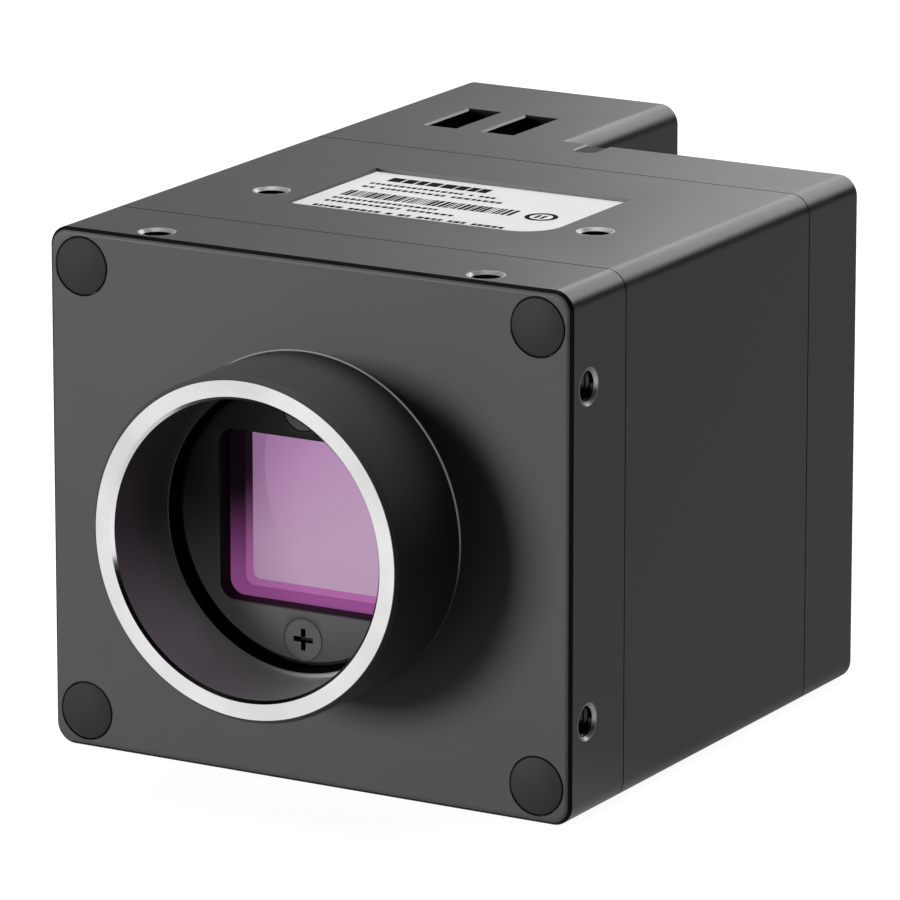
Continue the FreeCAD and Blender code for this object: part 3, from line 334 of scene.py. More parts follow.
ANODISED = Finish(
    "anodised_body", (0.106, 0.106, 0.107), roughness=0.36, metallic=0.9, mottle=0.04,
    gloss_change=0.02, grain=0.06,
)
FRONT_FACE = Finish(
    "anodised_front", grey(0.098), roughness=0.42, mottle=0.04, gloss_change=0.02,
    grain=0.1, specular=0.25,
)
# Painted shade: near-black for the insides of holes, windows, recesses and openings, and a painted
# dark reflection on the front chamfer; the seam chamfers are real dark joints.
SHADE_AND_SEAM_BLACK = Finish("shade_and_seam_black", grey(0.004), roughness=0.5, specular=0.1)
# Painted highlight: lighter grey on walls and window rims that face right, as if lit.
PAINTED_HIGHLIGHT_GREY = Finish("painted_highlight_grey", grey(0.2), roughness=0.35, mottle=0.05)
BARE_METAL = Finish(
    "bare_metal", grey(0.84), roughness=0.15, gloss_change=0.02, metallic=1.0,
    turned=True, grain=0.006,
)
HOLE_METAL = Finish("hole_metal", grey(0.62), roughness=0.42, metallic=0.6)
# Painted shade: the threads are near-black, so that only the countersinks look lit.
THREAD_IN_SHADE = Finish("thread_in_shade", grey(0.06), roughness=0.35, metallic=0.7)
BARREL_BLACK = Finish("barrel_black", grey(0.06), roughness=0.6, mottle=0.06, specular=0.14)
# Painted highlight: a glowing line at the barrel's foot, lighter towards the top.
PAINTED_HIGHLIGHT_LINE = PaintedLightFinish(
    "painted_highlight_line", grey(0.01), roughness=0.4, metallic=0.5, specular=0.2,
    top_colour=grey(0.34), low=-8.0, high=17.0, glow=0.4,
)
# Painted highlight: the milled recess's left wall glows light grey, lighter towards the top.
GLOWING_WALL_HIGHLIGHT = PaintedLightFinish(
    "glowing_wall_highlight", grey(0.2), roughness=0.4, metallic=0.5, specular=0.2,
    top_colour=grey(0.3), low=0.0, high=30.0, glow=1.1,
)
# Painted light: the bore is lighter and glows towards the bottom, near-black at the top as painted
# shade.
BORE_PAINTED_LIGHT = PaintedLightFinish(
    "bore_painted_light", grey(0.24), roughness=0.36, metallic=0.2, specular=0.5,
    top_colour=(0.026, 0.029, 0.026), low=-20.0, high=2.0, glow=0.14,
)
# Painted light: the black mask plate glows lighter towards the bottom and runs to near-black at
# the top as painted shade.
MASK_PAINTED_LIGHT = PaintedLightFinish(
    "mask_black", grey(0.035), roughness=0.5, specular=0.2,
    top_colour=grey(0.002), low=-17.0, high=5.0, glow=0.8,
)
# Painted light: the black screws are lighter and glow towards the bottom, darker at the top as
# painted shade.
SCREW_PAINTED_LIGHT = PaintedLightFinish(
    "screw_black", (0.075, 0.075, 0.076), roughness=0.4, specular=0.4,
    top_colour=grey(0.012), low=-16.0, high=6.0, glow=0.2,
)
# Painted shade: near-black for the barrel's deep step, the mask plate's outer band and the screws'
# cross recesses.
DEEP_SHADE_BLACK = Finish("deep_shade_black", grey(0.003), roughness=0.6, specular=0.2)
# The plugs' own black, also used as painted shade on the floor of the milled recess.
PLUG_BLACK_AND_SHADE = Finish("plug_black", grey(0.032), roughness=0.6, mottle=0.06, specular=0.25)
FILTER_GLASS = Finish(
    "filter_glass", (0.5, 0.2, 0.5), roughness=0.04, gloss_change=0.01, grain=0.0, alpha=0.03,
)
# Painted light: the coated border's purple glows and runs to near-black at the top as painted
# shade.
BORDER_PAINTED_LIGHT = PaintedLightFinish(
    "border_painted_light", (0.11, 0.028, 0.097), roughness=0.4, grain=0.0, specular=0.0,
    top_colour=(0.002, 0.001, 0.002), low=-12.5, high=3.0, glow=2.1,
)
# Painted light: the step's purple glows and runs to near-black at the top as painted shade.
STEP_PAINTED_LIGHT = PaintedLightFinish(
    "step_painted_light", (0.15, 0.047, 0.13), roughness=0.4, grain=0.0, specular=0.0,
    top_colour=(0.004, 0.002, 0.004), low=-10.0, high=5.0, glow=2.2,
)
# Painted light: the field's purple glows and runs with the height, with a painted reflection of
# the barrel mouth as a darker arc.
SENSOR_PAINTED_LIGHT = PaintedLightFinish(
    "sensor_painted_light", (0.18, 0.12, 0.176), roughness=0.35, grain=0.0, specular=0.15,
    top_colour=(0.168, 0.088, 0.168), low=-6.0, high=15.0, slant=-0.7, glow=2.0,
    arc_radius=22.6,
)
SENSOR_RIM = Finish("sensor_rim", grey(0.1), roughness=0.3, metallic=0.7)
CIRCUIT_BOARD = Finish("circuit_board", (0.02, 0.14, 0.06), roughness=0.35, mottle=0.3)
PLATED_STEEL = Finish("plated_steel", grey(0.6), roughness=0.3, metallic=1.0)
CREAM_PLASTIC = Finish("connector_plastic", (0.6, 0.55, 0.45), roughness=0.5)
CHIP_BLACK = Finish("chip_black", grey(0.02), roughness=0.55, grain=0.2)
PAD_GREY = Finish("pad_grey", (0.3, 0.32, 0.34), roughness=0.8, grain=0.3)
MILLED = Finish("bare_aluminium", grey(0.6), roughness=0.35, metallic=1.0)
FILM_WHITE = Finish("ribbon_white", (0.7, 0.7, 0.68), roughness=0.45)
SHIELD_STEEL = Finish("shield_steel", grey(0.62), roughness=0.25, metallic=1.0)
JACK_BLACK = Finish("jack_black", grey(0.014), roughness=0.5, grain=0.15)
GOLD = Finish("gold_contact", (0.9, 0.65, 0.25), roughness=0.25, metallic=1.0)
NICKEL = Finish("nickel_shell", (0.66, 0.64, 0.6), roughness=0.25, metallic=1.0)
LIGHT_LENS = Finish("light_lens", (0.55, 0.75, 0.55), roughness=0.3, transmission=0.6)
SEAL_RUBBER = Finish("seal_rubber", grey(0.015), roughness=0.8, grain=0.3)
LABEL_FOIL = Finish(
    "label_silver", grey(0.74), roughness=0.55, specular=0.12, mottle=0.03, grain=0.1,
    mottle_scale=90,
)
PRINT_BLACK = Finish("print_black", grey(0.01), roughness=0.8, specular=0.03)

CAD_FINISHES: dict[Finish, tuple[str, ...]] = {
    # Painted shade: the filter holder deep in the barrel is painted near-black.
    SHADE_AND_SEAM_BLACK: ("filter_holder",),
    SENSOR_RIM: ("sensor_package", "image_sensor"),
    CIRCUIT_BOARD: ("sensor_board", "main_board", "network_board", "port_board"),
    PLATED_STEEL: (
        "sensor_board_spacers", "front_board_pillars", "rear_board_pillars", "board_screws",
        "assembly_screws",
    ),
    CREAM_PLASTIC: (
        "sensor_board_plug", "main_board_socket", "ribbon_connectors", "port_link_header",
    ),
    CHIP_BLACK: ("memory_chips", "processor", "network_chip"),
    PAD_GREY: ("thermal_pad",),
    MILLED: ("heat_spreader",),
    FILM_WHITE: ("ribbon_cable",),
    NICKEL: ("receptacle_nut",),
    SEAL_RUBBER: ("front_seal", "rear_seal"),
    LABEL_FOIL: ("label_plate",),
}


# Mesh tools


def clear_selection() -> None:
    """Deselect every object, so that an operator acts only on what is chosen."""
    if bpy.context.object is not None and bpy.context.object.mode != "OBJECT":
        bpy.ops.object.mode_set(mode="OBJECT")
    bpy.ops.object.select_all(action="DESELECT")


def choose(obj: Object) -> None:
    """Make one object the only selected and the active one."""
    clear_selection()
    obj.select_set(True)
    bpy.context.view_layer.objects.active = obj


@contextmanager
def editing(obj: Object, mode: str, start: str = "DESELECT") -> Iterator[bmesh.types.BMesh]:
    """Enter edit mode and leave it at the end.

    Args:
        obj: The mesh object to edit.
        mode: Select mode, one of VERT, EDGE and FACE.
        start: DESELECT for nothing selected, SELECT for all of it.

    Returns:
        The edit mesh of the object.
    """
    choose(obj)
    bpy.ops.object.mode_set(mode="EDIT")
    bpy.ops.mesh.select_mode(type=mode)
    bpy.ops.mesh.select_all(action=start)
    yield bmesh.from_edit_mesh(obj.data)
    bpy.ops.object.mode_set(mode="OBJECT")


def select_faces(obj: Object, mesh: bmesh.types.BMesh, test: Test) -> None:
    """Select the faces that pass a test.

    Args:
        obj: The object in edit mode.
        mesh: Its edit mesh.
        test: Takes the centre and the normal of a face.
    """
    for face in mesh.faces:
        face.select_set(test(face.calc_center_median(), face.normal))
    bmesh.update_edit_mesh(obj.data)


def bevel_edges(
    obj: Object, test: Test, width: float, segments: int = 1, finish: Finish | None = None
) -> None:
    """Bevel the edges whose two ends pass a test.

    Args:
        obj: The object.
        test: Takes the two end points of an edge.
        width: Bevel width in millimetres.
        segments: Steps across the bevel.
        finish: Finish of the new faces, one of the object's, or that of their neighbours.
    """
    material = obj.data.materials.find(finish.label) if finish else -1
    with editing(obj, "EDGE") as mesh:
        for edge in mesh.edges:
            edge.select_set(test(edge.verts[0].co, edge.verts[1].co))
        bmesh.update_edit_mesh(obj.data)
        bpy.ops.mesh.bevel(offset=width * MM, segments=segments, profile=0.5, material=material)


def runs_along(a: Vector, b: Vector, axis: int) -> bool:
    """Whether an edge runs along an axis."""
    return abs((a - b)[axis]) > (a - b).length - TINY


def at_depth(a: Vector, b: Vector, depth: float) -> bool:
    """Whether both ends of an edge are at a depth in millimetres."""
    return abs(a.y - depth * MM) < TINY and abs(b.y - depth * MM) < TINY


def within(a: Vector, b: Vector, half_x: float, half_z: float) -> bool:
    """Whether both ends of an edge are this near the lens axis, in millimetres."""
    return max(abs(a.x), abs(b.x)) < half_x * MM and max(abs(a.z), abs(b.z)) < half_z * MM


def off_axis(point: Vector) -> float:
    """Distance of a point from the lens axis, in millimetres."""
    return math.hypot(point.x, point.z) / MM


def settle(obj: Object) -> None:
    """Put the object's place into its mesh, leaving the object at the origin."""
    choose(obj)
    bpy.ops.object.transform_apply(location=True, rotation=True, scale=True)


def moved(obj: Object, matrix: Matrix) -> Object:
    """Move a settled object's mesh.

    Args:
        obj: The object to move.
        matrix: Where it goes.

    Returns:
        The same object.
    """
    obj.matrix_world = matrix
    settle(obj)
    return obj


def joined(parts: Sequence[Object], name: str) -> Object:
    """Join several objects into one.

    Args:
        parts: The objects; the first keeps its materials' order.
        name: Name of the result.

    Returns:
        The joined object.
    """
    choose(parts[0])
    for part in parts:
        part.select_set(True)
    if len(parts) > 1:
        bpy.ops.object.join()
    whole = bpy.context.view_layer.objects.active
    whole.name = name
    return whole


def repeated(master: Object, places: Sequence[Matrix], name: str) -> Object:
    """Copy a piece to several places, each copy with its own mesh, and join the copies.

    Args:
        master: The piece, which is used up.
        places: Matrix of each copy.
        name: Name of the result.

    Returns:
        The copies as one object.
    """
    copies = []
    for place in places:
        twin = master.copy()
        twin.data = master.data.copy()
        bpy.context.scene.collection.objects.link(twin)
        copies.append(moved(twin, place))
    bpy.data.objects.remove(master, do_unlink=True)
    return joined(copies, name)


def outward(obj: Object) -> None:
    """Merge doubles and turn every face outwards."""
    with editing(obj, "VERT", "SELECT"):
        bpy.ops.mesh.remove_doubles(threshold=2e-6)
        bpy.ops.mesh.normals_make_consistent(inside=False)


def apply_modifier(obj: Object, modifier: bpy.types.Modifier) -> None:
    """Apply one modifier of an object."""
    choose(obj)
    bpy.ops.object.modifier_apply(modifier=modifier.name)


def combine(obj: Object, tool: Object, operation: str) -> None:
    """Boolean an object with a tool, which is used up.

    Args:
        obj: The object that changes.
        tool: The other object.
        operation: DIFFERENCE, UNION or INTERSECT.
    """
    modifier = obj.modifiers.new("carve", "BOOLEAN")
    modifier.operation = operation
    modifier.solver = "EXACT"
    modifier.object = tool
    apply_modifier(obj, modifier)
    bpy.data.objects.remove(tool, do_unlink=True)


def carve(obj: Object, *tools: Object) -> None:
    """Cut tools that don't meet each other out of an object in one go."""
    combine(obj, joined(tools, "cutter"), "DIFFERENCE")


def soften(obj: Object, width: float, segments: int) -> None:
    """Bevel every sharp edge.

    Args:
        obj: The object.
        width: Bevel width in millimetres.
        segments: Steps across the bevel.
    """
    modifier = obj.modifiers.new("soften", "BEVEL")
    modifier.width = width * MM
    modifier.segments = segments
    modifier.limit_method = "ANGLE"
    modifier.angle_limit = math.radians(40)
    modifier.use_clamp_overlap = True
    apply_modifier(obj, modifier)


def bar(low: Place, high: Place, name: str = "bar") -> Object:
    """Box between two corners given in millimetres.

    Args:
        low: Lowest corner.
        high: Highest corner.
        name: Name of the object.

    Returns:
        The box.
    """
    clear_selection()
    centre = [(a + b) / 2 * MM for a, b in zip(low, high)]
    size = [(b - a) * MM for a, b in zip(low, high)]
    bpy.ops.mesh.primitive_cube_add(size=1, location=centre, scale=size)
    box = bpy.context.object
    box.name = name
    settle(box)
    return box


def rounded_bar(
    low: Place, high: Place, radius: float, segments: int = 10, name: str = "rounded_bar"
) -> Object:
    """Box whose four edges along the Y axis are rounded.

    Args:
        low: Lowest corner in millimetres.
        high: Highest corner in millimetres.
        radius: Corner radius in millimetres.
        segments: Steps in each rounded corner.
        name: Name of the object.

    Returns:
        The rounded box.
    """
    box = bar(low, high, name)
    bevel_edges(box, lambda a, b: runs_along(a, b, 1), radius, segments)
    return box


def centred_bar(
    half: tuple[float, float], span: tuple[float, float], radius: float, segments: int = 10,
    name: str = "rounded_bar",
) -> Object:
    """Rounded box centred on the lens axis.

    Args:
        half: Half of its width and half of its height, in millimetres.
        span: Its front and its back.
        radius: Corner radius.
        segments: Steps in each rounded corner.
        name: Name of the object.

    Returns:
        The rounded box.
    """
    low, high = (-half[0], span[0], -half[1]), (half[0], span[1], half[1])
    return rounded_bar(low, high, radius, segments, name)


def rod(
    centre: Place, radius: float, length: float, steps: int, facing: Facing = Facing.FRONT
) -> Object:
    """Cylinder that starts at a point on a face and goes into it.

    Args:
        centre: Middle of its outer end, in millimetres.
        radius: Radius in millimetres.
        length: Depth in millimetres; a little sticks out of the face as well.
        steps: Faces round the cylinder.
        facing: The face that it goes into.

    Returns:
        The cylinder.
    """
    clear_selection()
    out = Vector(facing.value)
    proud = 0.4
    bpy.ops.mesh.primitive_cylinder_add(
        vertices=steps,
        radius=radius * MM,
        depth=(length + proud) * MM,
        location=Vector(centre) * MM + out * ((proud - length) / 2 * MM),
        rotation=out.to_track_quat("Z", "Y").to_euler(),
    )
    cylinder = bpy.context.object
    settle(cylinder)
    return cylinder


def turned(profile: Sequence[tuple[float, float]], steps: int, name: str = "turned") -> Object:
    """Shape turned about the Y axis by growing a ring along a profile.

    Args:
        profile: Pairs of radius and depth along Y, in millimetres. It is closed to a
            loop, unless it starts on the axis.
        steps: Faces round the shape.
        name: Name of the object.

    Returns:
        The turned object, centred on the Y axis.
    """
    clear_selection()
    radius, depth = profile[0]
    bpy.ops.mesh.primitive_circle_add(
        vertices=steps, radius=radius * MM, fill_type="NOTHING",
        location=(0, depth * MM, 0), rotation=(math.pi / 2, 0, 0),
    )
    shape = bpy.context.object
    shape.name = name
    settle(shape)
    closing = [profile[0]] if radius > ON_AXIS else []
    with editing(shape, "EDGE", "SELECT"):
        for wider, further in [*profile[1:], *closing]:
            shift = {"value": (0, (further - depth) * MM, 0)}
            bpy.ops.mesh.extrude_edges_move(TRANSFORM_OT_translate=shift)
            scale = wider / radius
            bpy.ops.transform.resize(
                value=(scale, 1, scale), center_override=(0, further * MM, 0)
            )
            radius, depth = wider, further
    outward(shape)
    return shape


def aim(facing: Facing, place: Place) -> Matrix:
    """Matrix that takes a shape turned into +Y onto a face, going into it.

    Args:
        facing: The face.
        place: Point on the face in millimetres.

    Returns:
        The matrix.
    """
    into = -Vector(facing.value)
    turn = Vector((0, 1, 0)).rotation_difference(into).to_matrix().to_4x4()
    return Matrix.Translation(Vector(place) * MM) @ turn


def beside(x: float, z: float) -> Matrix:
    """Matrix that takes a shape off the lens axis, in millimetres."""
    return Matrix.Translation((x * MM, 0, z * MM))


def dress(obj: Object, *finishes: Finish) -> None:
    """Give an object its materials.

    Args:
        obj: The object.
        *finishes: Their finishes in order.
    """
    obj.data.materials.clear()
    for finish in finishes:
        obj.data.materials.append(finish.build())


def paint(obj: Object, finish: Finish, test: Test) -> None:
    """Give the faces that pass a test one of the object's finishes.

    Args:
        obj: The object.
        finish: The finish.
        test: Takes the centre and the normal of a face.
    """
    index = obj.data.materials.find(finish.label)
    for face in obj.data.polygons:
        if test(face.center, face.normal):
            face.material_index = index


def enrol(obj: Object, slot: str, *nodes: str, degrees: float = 30.0) -> None:
    """Shade a finished piece smooth and put it on the frame.

    Args:
        obj: The piece.
        slot: Material slot of the record; not used.
        *nodes: CAD nodes that it stands for.
        degrees: Edges flatter than this are shaded smooth.
    """
    choose(obj)
    bpy.ops.object.shade_smooth_by_angle(angle=math.radians(degrees))
    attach(obj, "root")
    if nodes:
        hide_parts(*nodes)
    LOG.info("%s: %d faces, stands for %s", obj.name, len(obj.data.polygons), nodes)


# Sub-assemblies, with their sizes in millimetres


@dataclass
class Body:
    """Sizes and tools that the three housing sections share."""

    half_width: float = 40.0
    half_height: float = 36.0
    edge_radius: float = 2.8
    front_y: float = 16.0
    seam_front_y: float = 30.5
    seam_rear_y: float = 82.5
    rear_y: float = 96.7
    seam_chamfer: float = 0.12
    screw_x: float = 34.9
    screw_z: float = 30.9
    screw_hole: float = 2.2
    mount_x: float = 25.2
    far_shift: float = 2.6
    sink_radius: float = 2.62
    sink_depth: float = 0.46
    rim_width: float = 0.17
    rim_depth: float = 0.02
    tap_radius: float = 2.07
    mount_depth: float = 6.0
    cavity: tuple[float, float] = (31.0, 27.5)
    cavity_radius: float = 4.0

    def section(self, y0: float, y1: float, name: str) -> Object:
        """Plain section of the housing with rounded long edges.

        Args:
            y0: Front of the section.
            y1: Back of the section.
            name: Name of the object.

        Returns:
            The section.
        """
        half = (self.half_width, self.half_height)
        return centred_bar(half, (y0, y1), self.edge_radius, 14, name)

    def corners(self) -> list[tuple[float, float]]:
        """Places of the four assembly screws."""
        return [(sx * self.screw_x, sz * self.screw_z) for sx in (-1, 1) for sz in (-1, 1)]

    def upright_holes(self, y: float) -> list[Hole]:
        """Facing and mouth of the tapped holes in the top and the bottom.

        Args:
            y: Their depth.

        Returns:
            Two holes in each face.
        """
        top, low_x = self.half_height, self.mount_x - self.far_shift
        found = [(Facing.TOP, (sx * self.mount_x, y, top)) for sx in (-1, 1)]
        return found + [(Facing.BOTTOM, (sx * low_x, y, -top)) for sx in (-1, 1)]

    def chamfer_outline(self, obj: Object, depth: float, width: float, finish: Finish) -> None:
        """Chamfer the outline of a section at one depth."""
        bevel_edges(obj, lambda a, b: at_depth(a, b, depth), width, finish=finish)

    def tap(self, obj: Object, holes: Sequence[Hole]) -> None:
        """Cut tapped holes with a narrow rim and a countersink, and paint them: the countersink
        bare metal, deeper down near-black as painted shade.

        Args:
            obj: The section that the holes are in.
            holes: Facing and mouth of each hole.
        """
        profile = [
            (ON_AXIS, -0.3),
            (self.sink_radius, -0.3),
            (self.sink_radius, self.rim_depth),
            (self.sink_radius - self.rim_width, self.rim_depth),
            (self.tap_radius, self.sink_depth),
            (self.tap_radius, self.mount_depth),
            (ON_AXIS, self.mount_depth),
        ]
        carve(obj, *[moved(turned(profile, 48), aim(*hole)) for hole in holes])
        sink_end = self.sink_depth - 0.02
        # The countersink is bare metal; deeper down the hole is painted near-black as painted
        # shade.
        parts = ((HOLE_METAL, 0.01, sink_end), (SHADE_AND_SEAM_BLACK, sink_end, self.mount_depth + 1))
        for facing, place in holes:
            out, mouth = Vector(facing.value), Vector(place) * MM
            for finish, start, end in parts:

                def inside(centre: Vector, normal: Vector) -> bool:
                    """Whether a face is in this part of the hole."""
                    offset = centre - mouth
                    depth = -offset.dot(out)
                    radial = (offset + out * depth).length
                    return start * MM < depth < end * MM and radial < 2.6 * MM

                paint(obj, finish, inside)


@dataclass
class FrontSection(Body):
    """Front section of the housing, with the bore for the lens barrel."""

    chamfer: float = 0.62
    highlight: float = 0.26
    plug_radius: float = 4.03
    plug_depth: float = 2.0
    plug_rim: float = 0.1
    hole_y: float = 19.6
    side_hole_y: float = 20.6
    side_hole_z: float = 22.6
    spigot_radius: float = 22.05
    spigot_depth: float = 3.0
    sensor_slot: tuple[float, float] = (17.0, 13.2)
    front_cavity: tuple[float, float] = (30.0, 27.0)
    head_radius: float = 3.7
    head_depth: float = 4.7
    mask_screw_z: float = 15.7
    stud: tuple[float, float] = (24.0, 20.0)

    def holes(self) -> list[Hole]:
        """Facing and mouth of every tapped hole.

        Returns:
            The holes in the top, the bottom, the right and the left.
        """
        found = self.upright_holes(self.hole_y)
        far_z = self.side_hole_z + self.far_shift
        for side, sx, z in ((Facing.RIGHT, 1, self.side_hole_z), (Facing.LEFT, -1, far_z)):
            for sz in (-1, 1):
                found.append((side, (sx * self.half_width, self.side_hole_y, sz * z)))
        return found

    def build(self) -> None:
        """Model the section."""
        front, spots = self.front_y, self.corners()
        section = self.section(front, self.seam_front_y, "front_section")
        dress(section, ANODISED, SHADE_AND_SEAM_BLACK, HOLE_METAL, FRONT_FACE)
        # The front chamfer is painted near-black as a painted dark reflection.
        self.chamfer_outline(section, front, self.chamfer, SHADE_AND_SEAM_BLACK)
        inner_x = self.half_width - self.chamfer + 0.001
        inner_z = self.half_height - self.chamfer + 0.001

        def on_face_rim(a: Vector, b: Vector) -> bool:
            """Whether an edge lies on the rim of the front face."""
            return at_depth(a, b, front) and within(a, b, inner_x, inner_z)

        bevel_edges(section, on_face_rim, self.highlight, 4, FRONT_FACE)
        self.chamfer_outline(section, self.seam_front_y, self.seam_chamfer, SHADE_AND_SEAM_BLACK)
        carve(section, rod((0, front, 0), self.spigot_radius, self.spigot_depth, 128))
        carve(section, centred_bar(self.sensor_slot, (15, 22), 1.5, 4))
        carve(section, centred_bar(self.front_cavity, (21, 31), self.cavity_radius))
        rim = self.plug_radius + self.plug_rim
        mouth = [
            (ON_AXIS, -0.2), (rim + 0.2, -0.2), (self.plug_radius, self.plug_rim),
            (self.plug_radius, self.plug_depth), (ON_AXIS, self.plug_depth),
        ]
        places = [aim(Facing.FRONT, (x, front, z)) for x, z in spots]
        carve(section, repeated(turned(mouth, 96), places, "plug_seats"))
        heads = [rod((x, front + 1.5, z), self.head_radius, self.head_depth, 48) for x, z in spots]
        carve(section, *heads)
        carve(section, *[rod((x, front + 5, z), self.screw_hole, 10, 32) for x, z in spots])
        self.tap(section, self.holes())
        carve(section, *[rod((0, 18.5, sz * self.mask_screw_z), 1.25, 3, 24) for sz in (-1, 1)])
        studs = [(sx * self.stud[0], 21, sz * self.stud[1]) for sx in (-1, 1) for sz in (-1, 1)]
        carve(section, *[rod(place, 1, 3, 24, Facing.BACK) for place in studs])
        paint(section, FRONT_FACE, lambda c, n: abs(c.y - front * MM) < TINY and n.y < -0.99)
        enrol(section, "anodised_body", "front_housing")


@dataclass
class MiddleSection(Body):
    """Middle section with the label recess and two tapped holes each way."""

    hole_y: float = 49.0
    label_low: tuple[float, float] = (-20.1, 43.6)
    label_high: tuple[float, float] = (20.0, 68.5)
    label_radius: float = 5.4
    label_depth: float = 0.7
    groove_outer: tuple[float, float] = (33.8, 30.3)
    groove_inner: tuple[float, float] = (32.2, 28.7)
    groove_depth: float = 1.2

    def holes(self) -> list[Hole]:
        """Facing and mouth of every tapped hole."""
        return self.upright_holes(self.hole_y)

    def label_cutter(self) -> Object:
        """Cutter of the label recess, with one rounded corner.

        Returns:
            The cutter.
        """
        low = (*self.label_low, self.half_height - self.label_depth)
        box = bar(low, (*self.label_high, self.half_height + 0.5))
        right, near = self.label_high[0] * MM, self.label_low[1] * MM

        def corner(a: Vector, b: Vector) -> bool:
            """Whether an edge is the upright one at the near right corner."""
            return runs_along(a, b, 2) and abs(a.x - right) < TINY and abs(a.y - near) < TINY

        bevel_edges(box, corner, self.label_radius, 16)
        return box

    def groove_cutter(self, y0: float, y1: float) -> Object:
        """Cutter of one seal groove.

        Args:
            y0: Front of the groove.
            y1: Back of the groove.

        Returns:
            The cutter.
        """
        outer = centred_bar(self.groove_outer, (y0, y1), 6.0, 8)
        combine(outer, centred_bar(self.groove_inner, (y0 - 1, y1 + 1), 4.4, 8), "DIFFERENCE")
        return outer

    def build(self) -> None:
        """Model the section."""
        front, rear = self.seam_front_y, self.seam_rear_y
        section = self.section(front, rear, "middle_section")
        dress(section, ANODISED, SHADE_AND_SEAM_BLACK, HOLE_METAL, PAINTED_HIGHLIGHT_GREY)
        for seam in (front, rear):
            self.chamfer_outline(section, seam, self.seam_chamfer, SHADE_AND_SEAM_BLACK)
        carve(section, centred_bar(self.cavity, (front - 1, rear + 1), self.cavity_radius))
        long = rear - front + 1
        spots = self.corners()
        carve(section, *[rod((x, front, z), self.screw_hole, long, 32) for x, z in spots])
        carve(section, self.groove_cutter(front - 1, front + self.groove_depth))
        carve(section, self.groove_cutter(rear - self.groove_depth, rear + 1))
        carve(section, self.label_cutter())
        self.tap(section, self.holes())
        floor = (self.half_height - self.label_depth + 0.01) * MM

        def recess_wall(centre: Vector, normal: Vector) -> bool:
            """Whether a face is a wall of the label recess."""
            over = self.label_low[1] - 0.01 < centre.y / MM < self.label_high[1] + 0.01
            upright = abs(normal.z) < 0.1 and centre.z > floor
            return over and upright and abs(centre.x) < (self.label_high[0] + 0.2) * MM

        # Painted shade on the recess walls except the far one, and a painted highlight on the left
        # wall.
        paint(section, SHADE_AND_SEAM_BLACK, lambda c, n: recess_wall(c, n) and n.y > -0.9)
        paint(section, PAINTED_HIGHLIGHT_GREY, lambda c, n: recess_wall(c, n) and n.x > 0.9)
        enrol(section, "anodised_body", "middle_housing")


